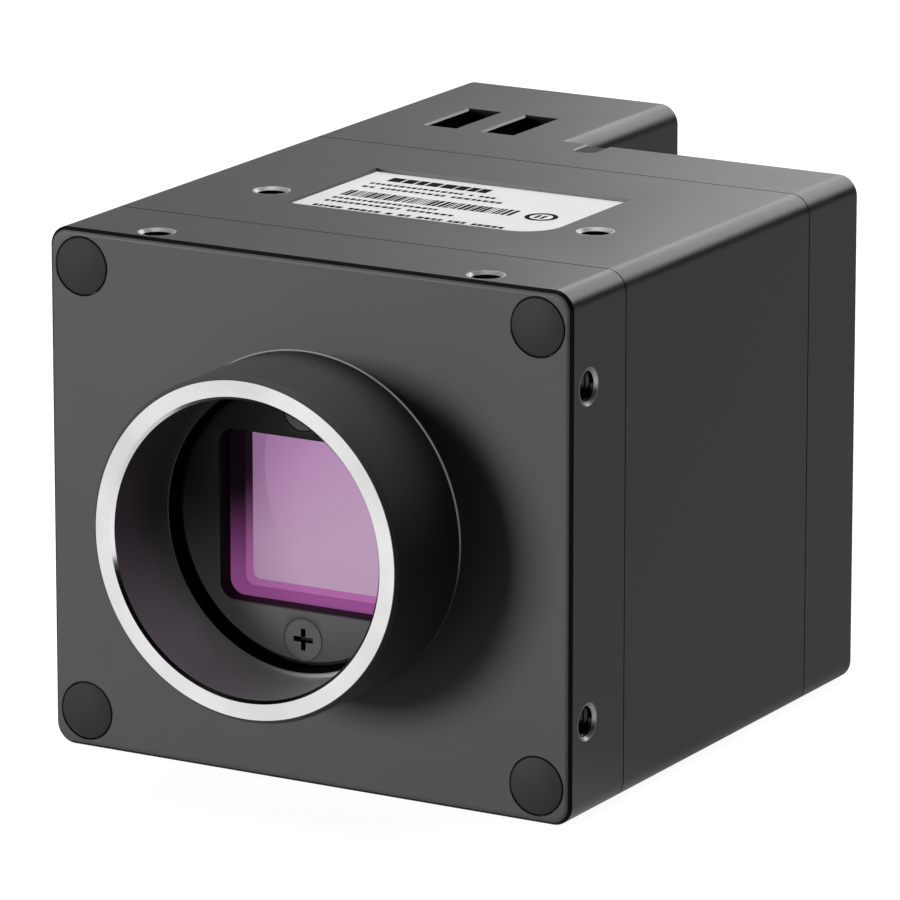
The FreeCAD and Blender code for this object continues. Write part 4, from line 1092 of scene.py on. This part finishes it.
@dataclass
class RearSection(Body):
    """Rear section with the block that holds the network socket."""

    block_low: tuple[float, float] = (-40.0, 4.0)
    block_right: float = -3.8
    block_end: float = 126.5
    end_chamfer: float = 0.4
    back_wall_y: float = 92.7
    window: tuple[float, float] = (4.9, 12.5)
    window_chamfer: float = 0.3
    window_y: float = 103.05
    window_x: tuple[float, float] = (-26.25, -16.95)
    recess_x: tuple[float, float] = (-2.45, 1.35)
    recess_y: float = 91.5
    recess_depth: float = 0.3
    recess_radius: float = 1.3
    bay_low: tuple[float, float, float] = (-35.5, 92.0, 8.75)
    bay_high: tuple[float, float, float] = (-8.3, 122.5, 31.25)
    bay_radius: float = 1.5
    port_low: tuple[float, float, float] = (-30.3, 120.0, 12.85)
    port_high: tuple[float, float, float] = (-13.5, 127.5, 27.15)
    receptacle_hole: float = 6.1
    light_hole: float = 1.6
    hole_depth: float = 5.0
    receptacle: tuple[float, float] = (20.0, 14.0)
    light_z: float = -8.0
    screw_tap: float = 1.7

    def window_cutter(self, x: float) -> Object:
        """Cutter of one window with a chamfered rim.

        Args:
            x: Middle of the window.

        Returns:
            The cutter.
        """
        top, y = self.half_height, self.window_y
        wide, long = self.window
        low = (x - wide / 2, y - long / 2, top - 6)
        box = bar(low, (x + wide / 2, y + long / 2, top - self.window_chamfer))
        rise = self.window_chamfer + 0.1
        with editing(box, "FACE") as mesh:
            select_faces(box, mesh, lambda c, n: n.z > 0.9)
            lift = {"value": (0, 0, rise * MM)}
            bpy.ops.mesh.extrude_region_move(TRANSFORM_OT_translate=lift)
            bpy.ops.transform.resize(
                value=((wide + 2 * rise) / wide, (long + 2 * rise) / long, 1),
                center_override=(x * MM, y * MM, top * MM),
            )
        return box

    def recess_cutter(self) -> Object:
        """Cutter of the shallow milled recess beside the block.

        Returns:
            The cutter.
        """
        left, right = self.recess_x
        front, top = self.recess_y, self.half_height
        box = bar((left, front, top - self.recess_depth), (right, front + 6, top + 0.5))

        def corner(a: Vector, b: Vector) -> bool:
            """Whether an edge is an upright one at the front end."""
            return runs_along(a, b, 2) and at_depth(a, b, front)

        bevel_edges(box, corner, self.recess_radius, 8)
        return box

    def build(self) -> None:
        """Model the section and its block."""
        seam, back = self.seam_rear_y, self.rear_y
        section = self.section(seam, back, "rear_section")
        dress(section, ANODISED, SHADE_AND_SEAM_BLACK, PAINTED_HIGHLIGHT_GREY, PLUG_BLACK_AND_SHADE, GLOWING_WALL_HIGHLIGHT)
        self.chamfer_outline(section, seam, self.seam_chamfer, SHADE_AND_SEAM_BLACK)
        low = (self.block_low[0], back - 6, self.block_low[1])
        high = (self.block_right, self.block_end, self.half_height)
        block = rounded_bar(low, high, self.edge_radius, 14)
        dress(block, ANODISED)
        self.chamfer_outline(block, self.block_end, self.end_chamfer, ANODISED)
        combine(section, block, "UNION")
        hollow = (seam - 1, self.back_wall_y)
        carve(section, centred_bar(self.cavity, hollow, self.cavity_radius))
        carve(section, rounded_bar(self.bay_low, self.bay_high, self.bay_radius, 4))
        carve(section, bar(self.port_low, self.port_high))
        carve(section, *[self.window_cutter(x) for x in self.window_x])
        carve(section, self.recess_cutter())
        x, z = self.receptacle
        carve(
            section,
            rod((x, back, z), self.receptacle_hole, self.hole_depth, 64, Facing.BACK),
            rod((x, back, self.light_z), self.light_hole, self.hole_depth, 32, Facing.BACK),
        )
        carve(section, *[rod((x, seam, z), self.screw_tap, 10, 32) for x, z in self.corners()])

        def in_bay(centre: Vector, normal: Vector) -> bool:
            """Whether a face is inside the windows or the port bay."""
            over_x = self.bay_low[0] * MM < centre.x < self.bay_high[0] * MM
            over_y = 93.0 * MM < centre.y < self.bay_high[1] * MM
            return over_x and over_y and 8.7 * MM < centre.z < 35.99 * MM

        left, right = self.recess_x
        floor = self.half_height - self.recess_depth

        def recess_floor(centre: Vector, normal: Vector) -> bool:
            """Whether a face is the floor of the milled recess."""
            x, y, z = centre / MM
            over = left - 0.05 < x < right + 0.05 and y > self.recess_y - 0.1
            return over and normal.z > 0.9 and abs(z - floor) < 0.01

        def recess_wall(centre: Vector, normal: Vector) -> bool:
            """Whether a face is the left wall of the milled recess."""
            x, _, z = centre / MM
            return abs(x - left) < 0.01 and normal.x > 0.9 and z > floor + 0.1

        # Painted shade inside the windows and the port bay, and a painted highlight on the window
        # rims that face right.
        paint(section, SHADE_AND_SEAM_BLACK, in_bay)
        paint(section, PAINTED_HIGHLIGHT_GREY, lambda c, n: in_bay(c, n) and c.z > 35.7 * MM and n.x > 0.5)
        # Painted shade on the floor of the milled recess, and a glowing painted highlight on its
        # left wall.
        paint(section, PLUG_BLACK_AND_SHADE, recess_floor)
        paint(section, GLOWING_WALL_HIGHLIGHT, recess_wall)
        enrol(section, "anodised_body", "rear_housing")


@dataclass
class LensBarrel:
    """Black lens barrel with a bare turned rim."""

    radius: float = 23.4
    length: float = 16.0
    chamfer: float = 0.6
    flare: float = 0.16
    bore: float = 20.2
    mouth_chamfer: float = 0.42
    bore_depth: float = 13.0
    step_bore: float = 19.7
    spigot: float = 22.0
    end: float = 19.0

    def build(self) -> None:
        """Model the barrel."""
        face, foot = self.radius - self.chamfer, self.radius + self.flare
        profile = [
            (self.bore + self.mouth_chamfer, 0.0),
            (face, 0.0),
            (face + 0.12, 0.03),
            (self.radius - 0.08, self.chamfer - 0.08),
            (self.radius, self.chamfer + 0.08),
            (self.radius, self.length - 0.2),
            (foot, self.length - 0.04),
            (foot, self.length),
            (self.spigot, self.length),
            (self.spigot, self.end),
            (self.step_bore, self.end),
            (self.step_bore, self.bore_depth + 0.12),
            (self.step_bore + 0.12, self.bore_depth),
            (self.bore, self.bore_depth),
            (self.bore, self.mouth_chamfer + 0.03),
        ]
        barrel = turned(profile, 256, "lens_barrel")
        dress(barrel, BARREL_BLACK, BARE_METAL, BORE_PAINTED_LIGHT, PAINTED_HIGHLIGHT_LINE, DEEP_SHADE_BLACK)
        # The rim and mouth chamfer are bare metal; the bore gets painted light, the foot a glowing
        # painted highlight line, the deep step painted shade.
        for finish, near, far, inner, outer in (
            (BARE_METAL, -1.0, 0.01, 0.0, face),
            (BARE_METAL, -1.0, 0.4, 0.0, 20.8),
            (BORE_PAINTED_LIGHT, 0.45, self.end + 1, 0.0, self.bore + 0.2),
            (PAINTED_HIGHLIGHT_LINE, self.length - 0.19, self.length, self.radius - 0.1, foot + 1),
            (DEEP_SHADE_BLACK, self.bore_depth + 0.5, self.end + 1, 0.0, self.step_bore + 0.2),
        ):

            def in_zone(centre: Vector, normal: Vector) -> bool:
                """Whether a face is between two depths and two radii."""
                return near < centre.y / MM < far and inner < off_axis(centre) < outer

            paint(barrel, finish, in_zone)
        enrol(barrel, "barrel_black", "lens_mount_barrel", degrees=12)


@dataclass
class MaskPlate:
    """Dark plate with the sensor opening, and its two screws."""

    radius: float = 19.1
    front: float = 15.0
    back: float = 16.5
    edge: float = 0.12
    shade_band: float = 0.5
    opening: tuple[float, float] = (13.0, 11.7)
    opening_radius: float = 2.2
    bevel: float = 0.25
    screw_z: float = 15.7
    cross: tuple[float, float] = (1.72, 0.42)
    cross_depth: float = 0.95

    def screw_places(self) -> list[Matrix]:
        """Matrices of the two screws."""
        return [aim(Facing.FRONT, (0, self.front, sz * self.screw_z)) for sz in (-1, 1)]

    def build(self) -> None:
        """Model the plate."""
        shade_from = self.radius - self.shade_band
        profile = [
            (ON_AXIS, self.front), (shade_from, self.front),
            (self.radius - self.edge, self.front), (self.radius, self.front + self.edge),
            (self.radius, self.back), (ON_AXIS, self.back),
        ]
        plate = turned(profile, 192, "mask_plate")
        # The plate is painted lighter and glowing towards the bottom and near-black at the top, as
        # painted light and shade.
        dress(plate, MASK_PAINTED_LIGHT, SHADE_AND_SEAM_BLACK, DEEP_SHADE_BLACK)
        span = (self.front - 1, self.back + 1)
        carve(plate, centred_bar(self.opening, span, self.opening_radius))
        half_w, half_h = self.opening

        def rim(a: Vector, b: Vector) -> bool:
            """Whether an edge is on the front rim of the opening."""
            near = within(a, b, half_w + 0.001, half_h + 0.001)
            edge_x = min(abs(a.x), abs(b.x)) > (half_w - self.opening_radius - 0.01) * MM
            edge_z = min(abs(a.z), abs(b.z)) > (half_h - self.opening_radius - 0.01) * MM
            return at_depth(a, b, self.front) and near and (edge_x or edge_z)

        bevel_edges(plate, rim, self.bevel, 2)
        sink = [(ON_AXIS, -0.1), (3.1, -0.1), (1.6, 1.4), (1.6, 2.0), (ON_AXIS, 2.0)]
        carve(plate, repeated(turned(sink, 64), self.screw_places(), "screw_seats"))

        def opening_wall(centre: Vector, normal: Vector) -> bool:
            """Whether a face is on the inner wall of the opening."""
            inside = within(centre, centre, half_w + 0.01, half_h + 0.01)
            return inside and centre.y > 15.35 * MM and abs(normal.y) < 0.1

        # Painted shade on the opening's inner walls and on the plate's outer band.
        paint(plate, SHADE_AND_SEAM_BLACK, opening_wall)
        paint(plate, DEEP_SHADE_BLACK, lambda c, n: off_axis(c) > shade_from)
        enrol(plate, "mask_black", "sensor_mask_plate")

    def build_screws(self) -> None:
        """Model the two countersunk cross-head screws."""
        profile = [
            (ON_AXIS, 0.0), (2.78, 0.0), (2.85, 0.08), (1.55, 1.4), (1.2, 1.5), (1.2, 5.7),
            (ON_AXIS, 5.9),
        ]
        screw = turned(profile, 64, "mask_screw")
        # The screws get painted light, lighter towards the bottom, and painted shade in the cross
        # recess.
        dress(screw, SCREW_PAINTED_LIGHT, DEEP_SHADE_BLACK)
        deep = self.cross_depth
        for width, height in (self.cross, self.cross[::-1]):
            slot = bar((-width, -0.5, -height), (width, deep, height))
            with editing(slot, "FACE") as mesh:
                select_faces(slot, mesh, lambda c, n: n.y > 0.9)
                middle = (0, deep * MM, 0)
                bpy.ops.transform.resize(value=(0.62, 1, 0.62), center_override=middle)
            combine(screw, slot, "DIFFERENCE")

        def in_cross(centre: Vector, normal: Vector) -> bool:
            """Whether a face belongs to the cross recess."""
            return 0.02 * MM < centre.y < MM and off_axis(centre) < 1.8

        paint(screw, DEEP_SHADE_BLACK, in_cross)
        pair = repeated(screw, self.screw_places(), "mask_screws")
        enrol(pair, "screw_black", "mask_plate_screws")


@dataclass
class ImageSensor:
    """Filter and sensor behind the mask plate."""

    glass: tuple[float, float] = (14.5, 13.0)
    glass_span: tuple[float, float] = (17.9, 18.9)
    cover_front: float = 19.3
    cover: tuple[float, float, float] = (14.0, -12.2, 12.2)
    step: tuple[float, float, float] = (11.45, -10.6, 12.15)
    field: tuple[float, float, float] = (10.3, -9.6, 12.1)

    def build_filter(self) -> None:
        """Model the coated filter with a ground bevel."""
        glass = centred_bar(self.glass, self.glass_span, 0.6, 3, "coated_filter")
        soften(glass, 0.08, 1)
        dress(glass, FILTER_GLASS)
        enrol(glass, "filter_glass", "filter_glass")

    def build_window(self) -> None:
        """Model the sensor window with its coated border, a step and the field behind it, their
        purple painted as glowing light and shade, with a painted reflection on the field.
        """
        plates = []
        for (half, bottom, top), start, end, radius, finish in (
            (self.cover, 0.02, 0.5, 1.6, BORDER_PAINTED_LIGHT),
            (self.step, 0.01, 0.02, 1.3, STEP_PAINTED_LIGHT),
            (self.field, 0.0, 0.01, 1.1, SENSOR_PAINTED_LIGHT),
        ):
            front = self.cover_front
            low, high = (-half, front + start, bottom), (half, front + end, top)
            plate = rounded_bar(low, high, radius)
            dress(plate, finish)
            plates.append(plate)
        enrol(joined(plates, "sensor_window"), "sensor_surface", "sensor_cover_glass")


@dataclass
class CornerPlugs(Body):
    """Four round plugs over the assembly screws."""

    plug_radius: float = 3.9
    thickness: float = 1.8
    rim: float = 0.14

    def build(self) -> None:
        """Model the plugs."""
        profile = [
            (ON_AXIS, 0.0), (self.plug_radius - self.rim, 0.0),
            (self.plug_radius - 0.04, 0.05), (self.plug_radius, self.rim),
            (self.plug_radius, self.thickness), (ON_AXIS, self.thickness),
        ]
        plug = turned(profile, 96)
        dress(plug, PLUG_BLACK_AND_SHADE)
        places = [aim(Facing.FRONT, (x, self.front_y, z)) for x, z in self.corners()]
        plugs = repeated(plug, places, "round_plugs")
        enrol(plugs, "plug_black", "corner_plugs", degrees=60)


@dataclass
class TappedThreads:
    """Thread turns seen in the tapped holes."""

    crest: float = 1.78
    root: float = 2.08
    pitch: float = 0.7
    start: float = 0.42
    turns: int = 7
    steps: int = 24

    def one(self) -> Object:
        """Model one thread as a wound V profile.

        Returns:
            The thread along the Y axis, going into +Y.
        """
        clear_selection()
        flank = self.root - self.crest
        middle = Vector((self.crest + flank * 2 / 3, self.start + self.pitch / 2, 0))
        bpy.ops.mesh.primitive_circle_add(
            vertices=3, radius=MM, fill_type="NOTHING",
            location=middle * MM, rotation=(0, 0, math.pi / 2),
        )
        thread = bpy.context.object
        thread.scale = (self.pitch * 0.54, flank / 1.5, 1)
        settle(thread)
        wind = thread.modifiers.new("wind", "SCREW")
        wind.axis = "Y"
        wind.angle = 2 * math.pi
        wind.screw_offset = self.pitch * MM
        wind.iterations = self.turns
        wind.steps = wind.render_steps = self.steps
        wind.use_merge_vertices = False
        apply_modifier(thread, wind)
        with editing(thread, "VERT", "SELECT"):
            bpy.ops.mesh.remove_doubles(threshold=1e-6)
            bpy.ops.mesh.fill_holes(sides=3)
        outward(thread)
        return thread

    def build(self, holes: Sequence[Hole]) -> None:
        """Place one thread in each hole.

        Args:
            holes: Facing and mouth of each hole.
        """
        thread = self.one()
        # The threads are near-black as painted shade.
        dress(thread, THREAD_IN_SHADE)
        whole = repeated(thread, [aim(*hole) for hole in holes], "tapped_threads")
        enrol(whole, "bare_aluminium")


@dataclass
class LabelPrint:
    """Plain printed marks on the foil label."""

    top: float = 35.5
    thickness: float = 0.015
    left: float = -17.0
    bars_end: float = 9.6
    bars_y: float = 55.0
    ring_place: tuple[float, float] = (13.7, 54.8)
    ring_radii: tuple[float, float] = (1.6, 2.3)
    rows: tuple[tuple[float, float, float, int, float], ...] = (
        (65.0, 2.3, 0.7, 8, 1.75), (61.7, 0.9, 0.3, 20, 0.7), (59.5, 0.9, 0.3, 21, 0.7),
        (51.6, 0.9, 0.3, 18, 0.7), (49.5, 0.9, 0.3, 19, 0.7), (46.4, 1.0, 0.26, 25, 0.8),
    )

    def mark(self, x: float, y: float, width: float, height: float) -> Object:
        """One flat mark a hair above the label.

        Args:
            x: Left end.
            y: Middle along the depth.
            width: Width.
            height: Depth.

        Returns:
            The mark.
        """
        low = (x, y - height / 2, self.top)
        return bar(low, (x + width, y + height / 2, self.top + self.thickness))

    def ring(self) -> Object:
        """Round mark at the right of the label.

        Returns:
            The ring.
        """
        inner, outer = self.ring_radii
        thick = self.thickness
        ring = turned([(inner, 0.0), (outer, 0.0), (outer, thick), (inner, thick)], 48)
        return moved(ring, aim(Facing.BOTTOM, (*self.ring_place, self.top)))

    def build(self) -> None:
        """Model a bold head row, rows of dashes, a bar strip and a ring."""
        chance = random.Random(7)
        marks = [self.ring()]
        marks += [self.mark(x, self.ring_place[1], 0.5, 1.8) for x in (12.9, 13.8)]
        x = self.left
        while x < self.bars_end:
            width = chance.choice((0.2, 0.26, 0.4, 0.6))
            marks.append(self.mark(x, self.bars_y, width, 3.4))
            x += width + chance.choice((0.18, 0.22, 0.34))
        for y, height, gap, count, typical in self.rows:
            bold = typical > 1
            x = self.left + (1.2 if bold else 0.0)
            for _ in range(count):
                width = typical * chance.uniform(0.75, 1.25)
                marks.append(self.mark(x, y, width, height))
                x += width + gap * chance.uniform(0.7, 1.1) * (0.45 if bold else 1.0)
                if not bold and chance.random() < 0.12:
                    x += 0.8
        whole = joined(marks, "label_marks")
        dress(whole, PRINT_BLACK)
        enrol(whole, "label_silver", degrees=0.0)


@dataclass
class NetworkSocket:
    """Network socket at the end of the block."""

    x: float = -21.9
    z: float = 20.0
    front: float = 103.0
    shield_end: float = 126.3
    body_end: float = 126.0
    sheet_outer: tuple[float, float] = (8.2, 6.95)
    sheet_inner: tuple[float, float] = (7.9, 6.65)
    sheet_window: tuple[float, float] = (0.4, 0.9)
    window_x: float = 8.05
    window_z: float = 2.6
    window_y: tuple[float, float] = (7.0, 2.0)
    moulding: tuple[float, float] = (7.85, 6.6)
    mouth_depth: float = 14.5
    mouth_steps: tuple[tuple[float, float, float], ...] = (
        (5.9, -2.05, 4.85), (3.1, -4.25, -1.95), (1.7, -5.95, -4.15),
    )
    contact_pitch: float = 1.02
    contact_y: tuple[float, float] = (12.6, 1.8)
    contact_z: tuple[float, float] = (0.42, 0.04)
    contact_half: float = 0.2

    def block(self, half: tuple[float, float], y0: float, y1: float) -> tuple[Place, Place]:
        """Lowest and highest corner of a box centred on the socket.

        Args:
            half: Half of its width and half of its height.
            y0: Front of the box.
            y1: Back of the box.

        Returns:
            The two corners.
        """
        x, z = self.x, self.z
        return (x - half[0], y0, z - half[1]), (x + half[0], y1, z + half[1])

    def build_shield(self) -> None:
        """Model the folded sheet round the socket, with four small windows."""
        front, end = self.front, self.shield_end
        outer = self.block(self.sheet_outer, front, end)
        shield = rounded_bar(*outer, 0.5, 4, "socket_shield")
        inner = self.block(self.sheet_inner, front - 1, end + 1)
        combine(shield, rounded_bar(*inner, 0.25, 3), "DIFFERENCE")
        start, stop = (end - depth for depth in self.window_y)
        thin, tall = self.sheet_window
        windows = []
        for side in (-1, 1):
            for level in (-1, 1):
                x, z = self.x + side * self.window_x, self.z + level * self.window_z
                windows.append(bar((x - thin, start, z - tall), (x + thin, stop, z + tall)))
        carve(shield, *windows)
        dress(shield, SHIELD_STEEL)
        enrol(shield, "shield_steel", "jack_shield")

    def build_housing(self) -> None:
        """Model the moulded body of the socket, with a stepped mouth."""
        x, z, end = self.x, self.z, self.body_end
        body = bar(*self.block(self.moulding, self.front, end), "socket_body")
        soften(body, 0.25, 2)
        floor = end - self.mouth_depth
        for half, bottom, top in self.mouth_steps:
            carve(body, bar((x - half, floor, z + bottom), (x + half, end + 1, z + top)))
        centre = Vector((x, 0, z)) * MM

        def mouth(a: Vector, b: Vector) -> bool:
            """Whether an edge is on the rim of the socket's mouth."""
            return at_depth(a, b, end) and within(a - centre, b - centre, 6.0, 6.1)

        bevel_edges(body, mouth, 0.2, 2)
        dress(body, JACK_BLACK)
        enrol(body, "jack_black", "jack_housing")

    def build_contacts(self) -> None:
        """Model the eight sprung contacts."""
        top = self.z + self.mouth_steps[0][2]
        start, stop = (self.body_end - depth for depth in self.contact_y)
        bottom, lid = (top - drop for drop in self.contact_z)
        half = self.contact_half
        wires = []
        for i in range(8):
            x = self.x + (i - 3.5) * self.contact_pitch
            wire = bar((x - half, start, bottom), (x + half, stop, lid))
            soften(wire, 0.08, 2)
            wires.append(wire)
        whole = joined(wires, "socket_contacts")
        dress(whole, GOLD)
        enrol(whole, "gold_contact", "jack_contacts")


@dataclass
class Receptacle:
    """Round power and signal receptacle with its status light."""

    x: float = 20.0
    z: float = 14.0
    light_z: float = -8.0
    inside: float = 90.7
    back: float = 96.7
    floor: float = 99.7
    thread_pitch: float = 0.75
    pin_rings: tuple[tuple[int, float], ...] = ((9, 3.3), (3, 1.2))

    def build_shell(self) -> None:
        """Model the nickel shell with a flange and thread turns."""
        profile = [(4.9, self.inside), (5.9, self.inside), (5.9, self.back), (7.85, self.back)]
        profile += [(8.0, 96.85), (8.0, 98.5), (7.8, 98.7), (5.6, 98.7)]
        depth = 99.0
        while depth < 104.0:
            profile += [(5.6, depth), (5.9, depth + 0.2), (5.9, depth + 0.3), (5.6, depth + 0.5)]
            depth += self.thread_pitch
        profile += [(5.6, 104.5), (5.4, 104.7), (5.05, 104.7), (4.9, 104.55)]
        shell = moved(turned(profile, 96, "round_shell"), beside(self.x, self.z))
        dress(shell, NICKEL)
        enrol(shell, "nickel_shell", "receptacle_shell")

    def build_insert(self) -> None:
        """Model the black insert that holds the pins."""
        profile = [
            (ON_AXIS, self.inside), (4.85, self.inside), (4.85, 99.5), (4.65, self.floor),
            (ON_AXIS, self.floor),
        ]
        insert = moved(turned(profile, 64, "round_insert"), beside(self.x, self.z))
        dress(insert, JACK_BLACK)
        enrol(insert, "jack_black", "receptacle_insert")

    def build_pins(self) -> None:
        """Model twelve round-nosed pins."""
        profile = [
            (ON_AXIS, self.floor), (0.35, self.floor), (0.35, 102.4), (0.24, 102.62),
            (ON_AXIS, 102.7),
        ]
        pin = turned(profile, 16)
        dress(pin, GOLD)
        places = []
        for count, radius in self.pin_rings:
            for i in range(count):
                angle = math.pi / 2 + 2 * math.pi * i / count
                x, z = radius * math.cos(angle), radius * math.sin(angle)
                places.append(beside(self.x + x, self.z + z))
        enrol(repeated(pin, places, "round_pins"), "gold_contact", "receptacle_pins")

    def build_light(self) -> None:
        """Model the domed light pipe."""
        profile = [
            (ON_AXIS, 91.7), (1.5, 91.7), (1.5, 96.6), (1.2, 96.85), (0.6, 96.98),
            (ON_AXIS, 97.0),
        ]
        light = moved(turned(profile, 32, "light_pipe"), beside(self.x, self.light_z))
        dress(light, LIGHT_LENS)
        enrol(light, "light_lens", "status_light", degrees=50)


# Studio


@dataclass(frozen=True)
class Lamp:
    """Soft rectangular lamp aimed at the object."""

    name: str
    direction: tuple[float, float, float]
    distance: float
    size: tuple[float, float]
    power: float

    def build(self, target: Vector) -> None:
        """Hang the lamp.

        Args:
            target: Point that it lights.
        """
        data = bpy.data.lights.new(self.name, "AREA")
        data.shape = "RECTANGLE"
        data.size, data.size_y = self.size
        data.energy = self.power
        lamp = bpy.data.objects.new(self.name, data)
        bpy.context.scene.collection.objects.link(lamp)
        out = Vector(self.direction).normalized()
        lamp.location = target + out * self.distance
        lamp.rotation_euler = out.to_track_quat("Z", "Y").to_euler()


@dataclass
class Studio:
    """White floor, soft lamps and the camera, whose fades, target and lamps are in metres."""

    floor_z: float = -36.0
    floor_size: float = 30.0
    world_level: float = 0.035
    world_gloss: float = 0.045
    floor_near: float = 0.96
    floor_far: float = 0.34
    floor_left: float = 0.87
    fade_y: tuple[float, float] = (-0.03, 0.05)
    fade_x: tuple[float, float] = (-0.02, 0.06)
    floor_soft: float = 0.08
    floor_white: float = 0.94
    lens: float = 298.85
    place: tuple[float, float, float] = (492.81, -800.98, 256.38)
    yaw: float = 0.5229
    pitch: float = 0.2527
    target: tuple[float, float, float] = (0.0, 0.05, 0.0)
    lamps: tuple[Lamp, ...] = (
        Lamp("left_key", (-0.52, -0.8, 0.08), 1.6, (0.5, 0.5), 21.5),
        Lamp("edge_softbox", (0.07, 0.84, 0.47), 1.0, (1.1, 0.32), 3.1),
        Lamp("rear_low_softbox", (-0.55, 0.84, 0.22), 1.0, (0.5, 0.28), 0.2),
        Lamp("overhead", (-0.1, 0.16, 1.0), 0.85, (0.42, 0.42), 6.5),
    )

    @staticmethod
    def seen(tree: Tree, path: Node) -> Socket:
        """Mask of the camera rays and the rays through glass, from a Light Path node."""
        rays = path.outputs
        return calculated(tree, "MAXIMUM", rays["Is Camera Ray"], rays["Is Transmission Ray"])

    def build_world(self) -> None:
        """Even world light that looks white to the camera and through glass."""
        world = bpy.data.worlds.new("studio_world")
        bpy.context.scene.world = world
        world.use_nodes = True
        tree = world.node_tree
        path = add_node(tree, "LightPath")
        level = blended(tree, path.outputs["Is Glossy Ray"], self.world_level, self.world_gloss)
        strength = blended(tree, self.seen(tree, path), level, 1.0)
        feed(tree, tree.nodes["Background"], {"Strength": strength})

    def build_floor(self) -> None:
        """White floor that keeps a faint shadow, and fades in reflections."""
        clear_selection()
        height = (0, 0, self.floor_z * MM)
        bpy.ops.mesh.primitive_plane_add(size=self.floor_size, location=height)
        floor = bpy.context.object
        floor.name = "studio_floor"
        settle(floor)
        material = bpy.data.materials.new("floor_white")
        material.use_nodes = True
        tree = material.node_tree
        tree.nodes.remove(tree.nodes["Principled BSDF"])
        place = add_node(tree, "TexCoord").outputs["Object"]
        split = add_node(tree, "SeparateXYZ", {"Vector": place})
        back = mapped(tree, split.outputs["Y"], self.fade_y, self.floor_near, self.floor_far)
        across = mapped(tree, split.outputs["X"], self.fade_x, self.floor_left)
        gloss = calculated(tree, "MULTIPLY", back, across)
        path = add_node(tree, "LightPath")
        level = blended(tree, path.outputs["Is Glossy Ray"], self.floor_soft, gloss)
        bounce = add_node(tree, "Emission", {"Strength": level})
        white = add_node(tree, "Emission", {"Strength": self.floor_white})
        thin = add_node(tree, "BsdfDiffuse", {"Color": (*grey(0.3), 1)})
        both = {0: white.outputs["Emission"], 1: thin.outputs["BSDF"]}
        added = add_node(tree, "AddShader", both)
        mix = add_node(tree, "MixShader", {
            "Fac": self.seen(tree, path),
            1: bounce.outputs["Emission"],
            2: added.outputs["Shader"],
        })
        feed(tree, tree.nodes["Material Output"], {"Surface": mix.outputs["Shader"]})
        floor.data.materials.append(material)

    def build_camera(self) -> None:
        """Camera at the photograph's viewing angle."""
        data = bpy.data.cameras.new("studio_camera")
        data.lens = self.lens
        data.sensor_width = 36.0
        data.clip_start = 0.05
        data.clip_end = 60.0
        camera = bpy.data.objects.new("studio_camera", data)
        bpy.context.scene.collection.objects.link(camera)
        camera.location = Vector(self.place) * MM
        camera.rotation_euler = (math.pi / 2 - self.pitch, 0.0, self.yaw)
        bpy.context.scene.camera = camera

    def build(self) -> None:
        """Set up the whole studio."""
        self.build_world()
        self.build_floor()
        self.build_camera()
        for lamp in self.lamps:
            lamp.build(Vector(self.target))


def dress_cad_nodes() -> None:
    """Give every CAD node that stays its procedural finish."""
    for finish, names in CAD_FINISHES.items():
        for name in names:
            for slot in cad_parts[name].material_slots:
                slot.material = finish.build()
            LOG.info("%s keeps its CAD shape in %s", name, finish.name)


def main() -> None:
    """Build the studio and every piece in order."""
    logging.basicConfig(level=logging.INFO, format="%(message)s")
    bpy.context.scene.view_settings.view_transform = "Standard"
    Studio().build()
    dress_cad_nodes()
    front, middle = FrontSection(), MiddleSection()
    front.build()
    middle.build()
    RearSection().build()
    LensBarrel().build()
    mask = MaskPlate()
    mask.build()
    mask.build_screws()
    sensor = ImageSensor()
    sensor.build_filter()
    sensor.build_window()
    CornerPlugs().build()
    TappedThreads().build([*front.holes(), *middle.holes()])
    LabelPrint().build()
    socket = NetworkSocket()
    socket.build_shield()
    socket.build_housing()
    socket.build_contacts()
    receptacle = Receptacle()
    receptacle.build_shell()
    receptacle.build_insert()
    receptacle.build_pins()
    receptacle.build_light()
    clear_selection()


if __name__ == "__main__":
    main()
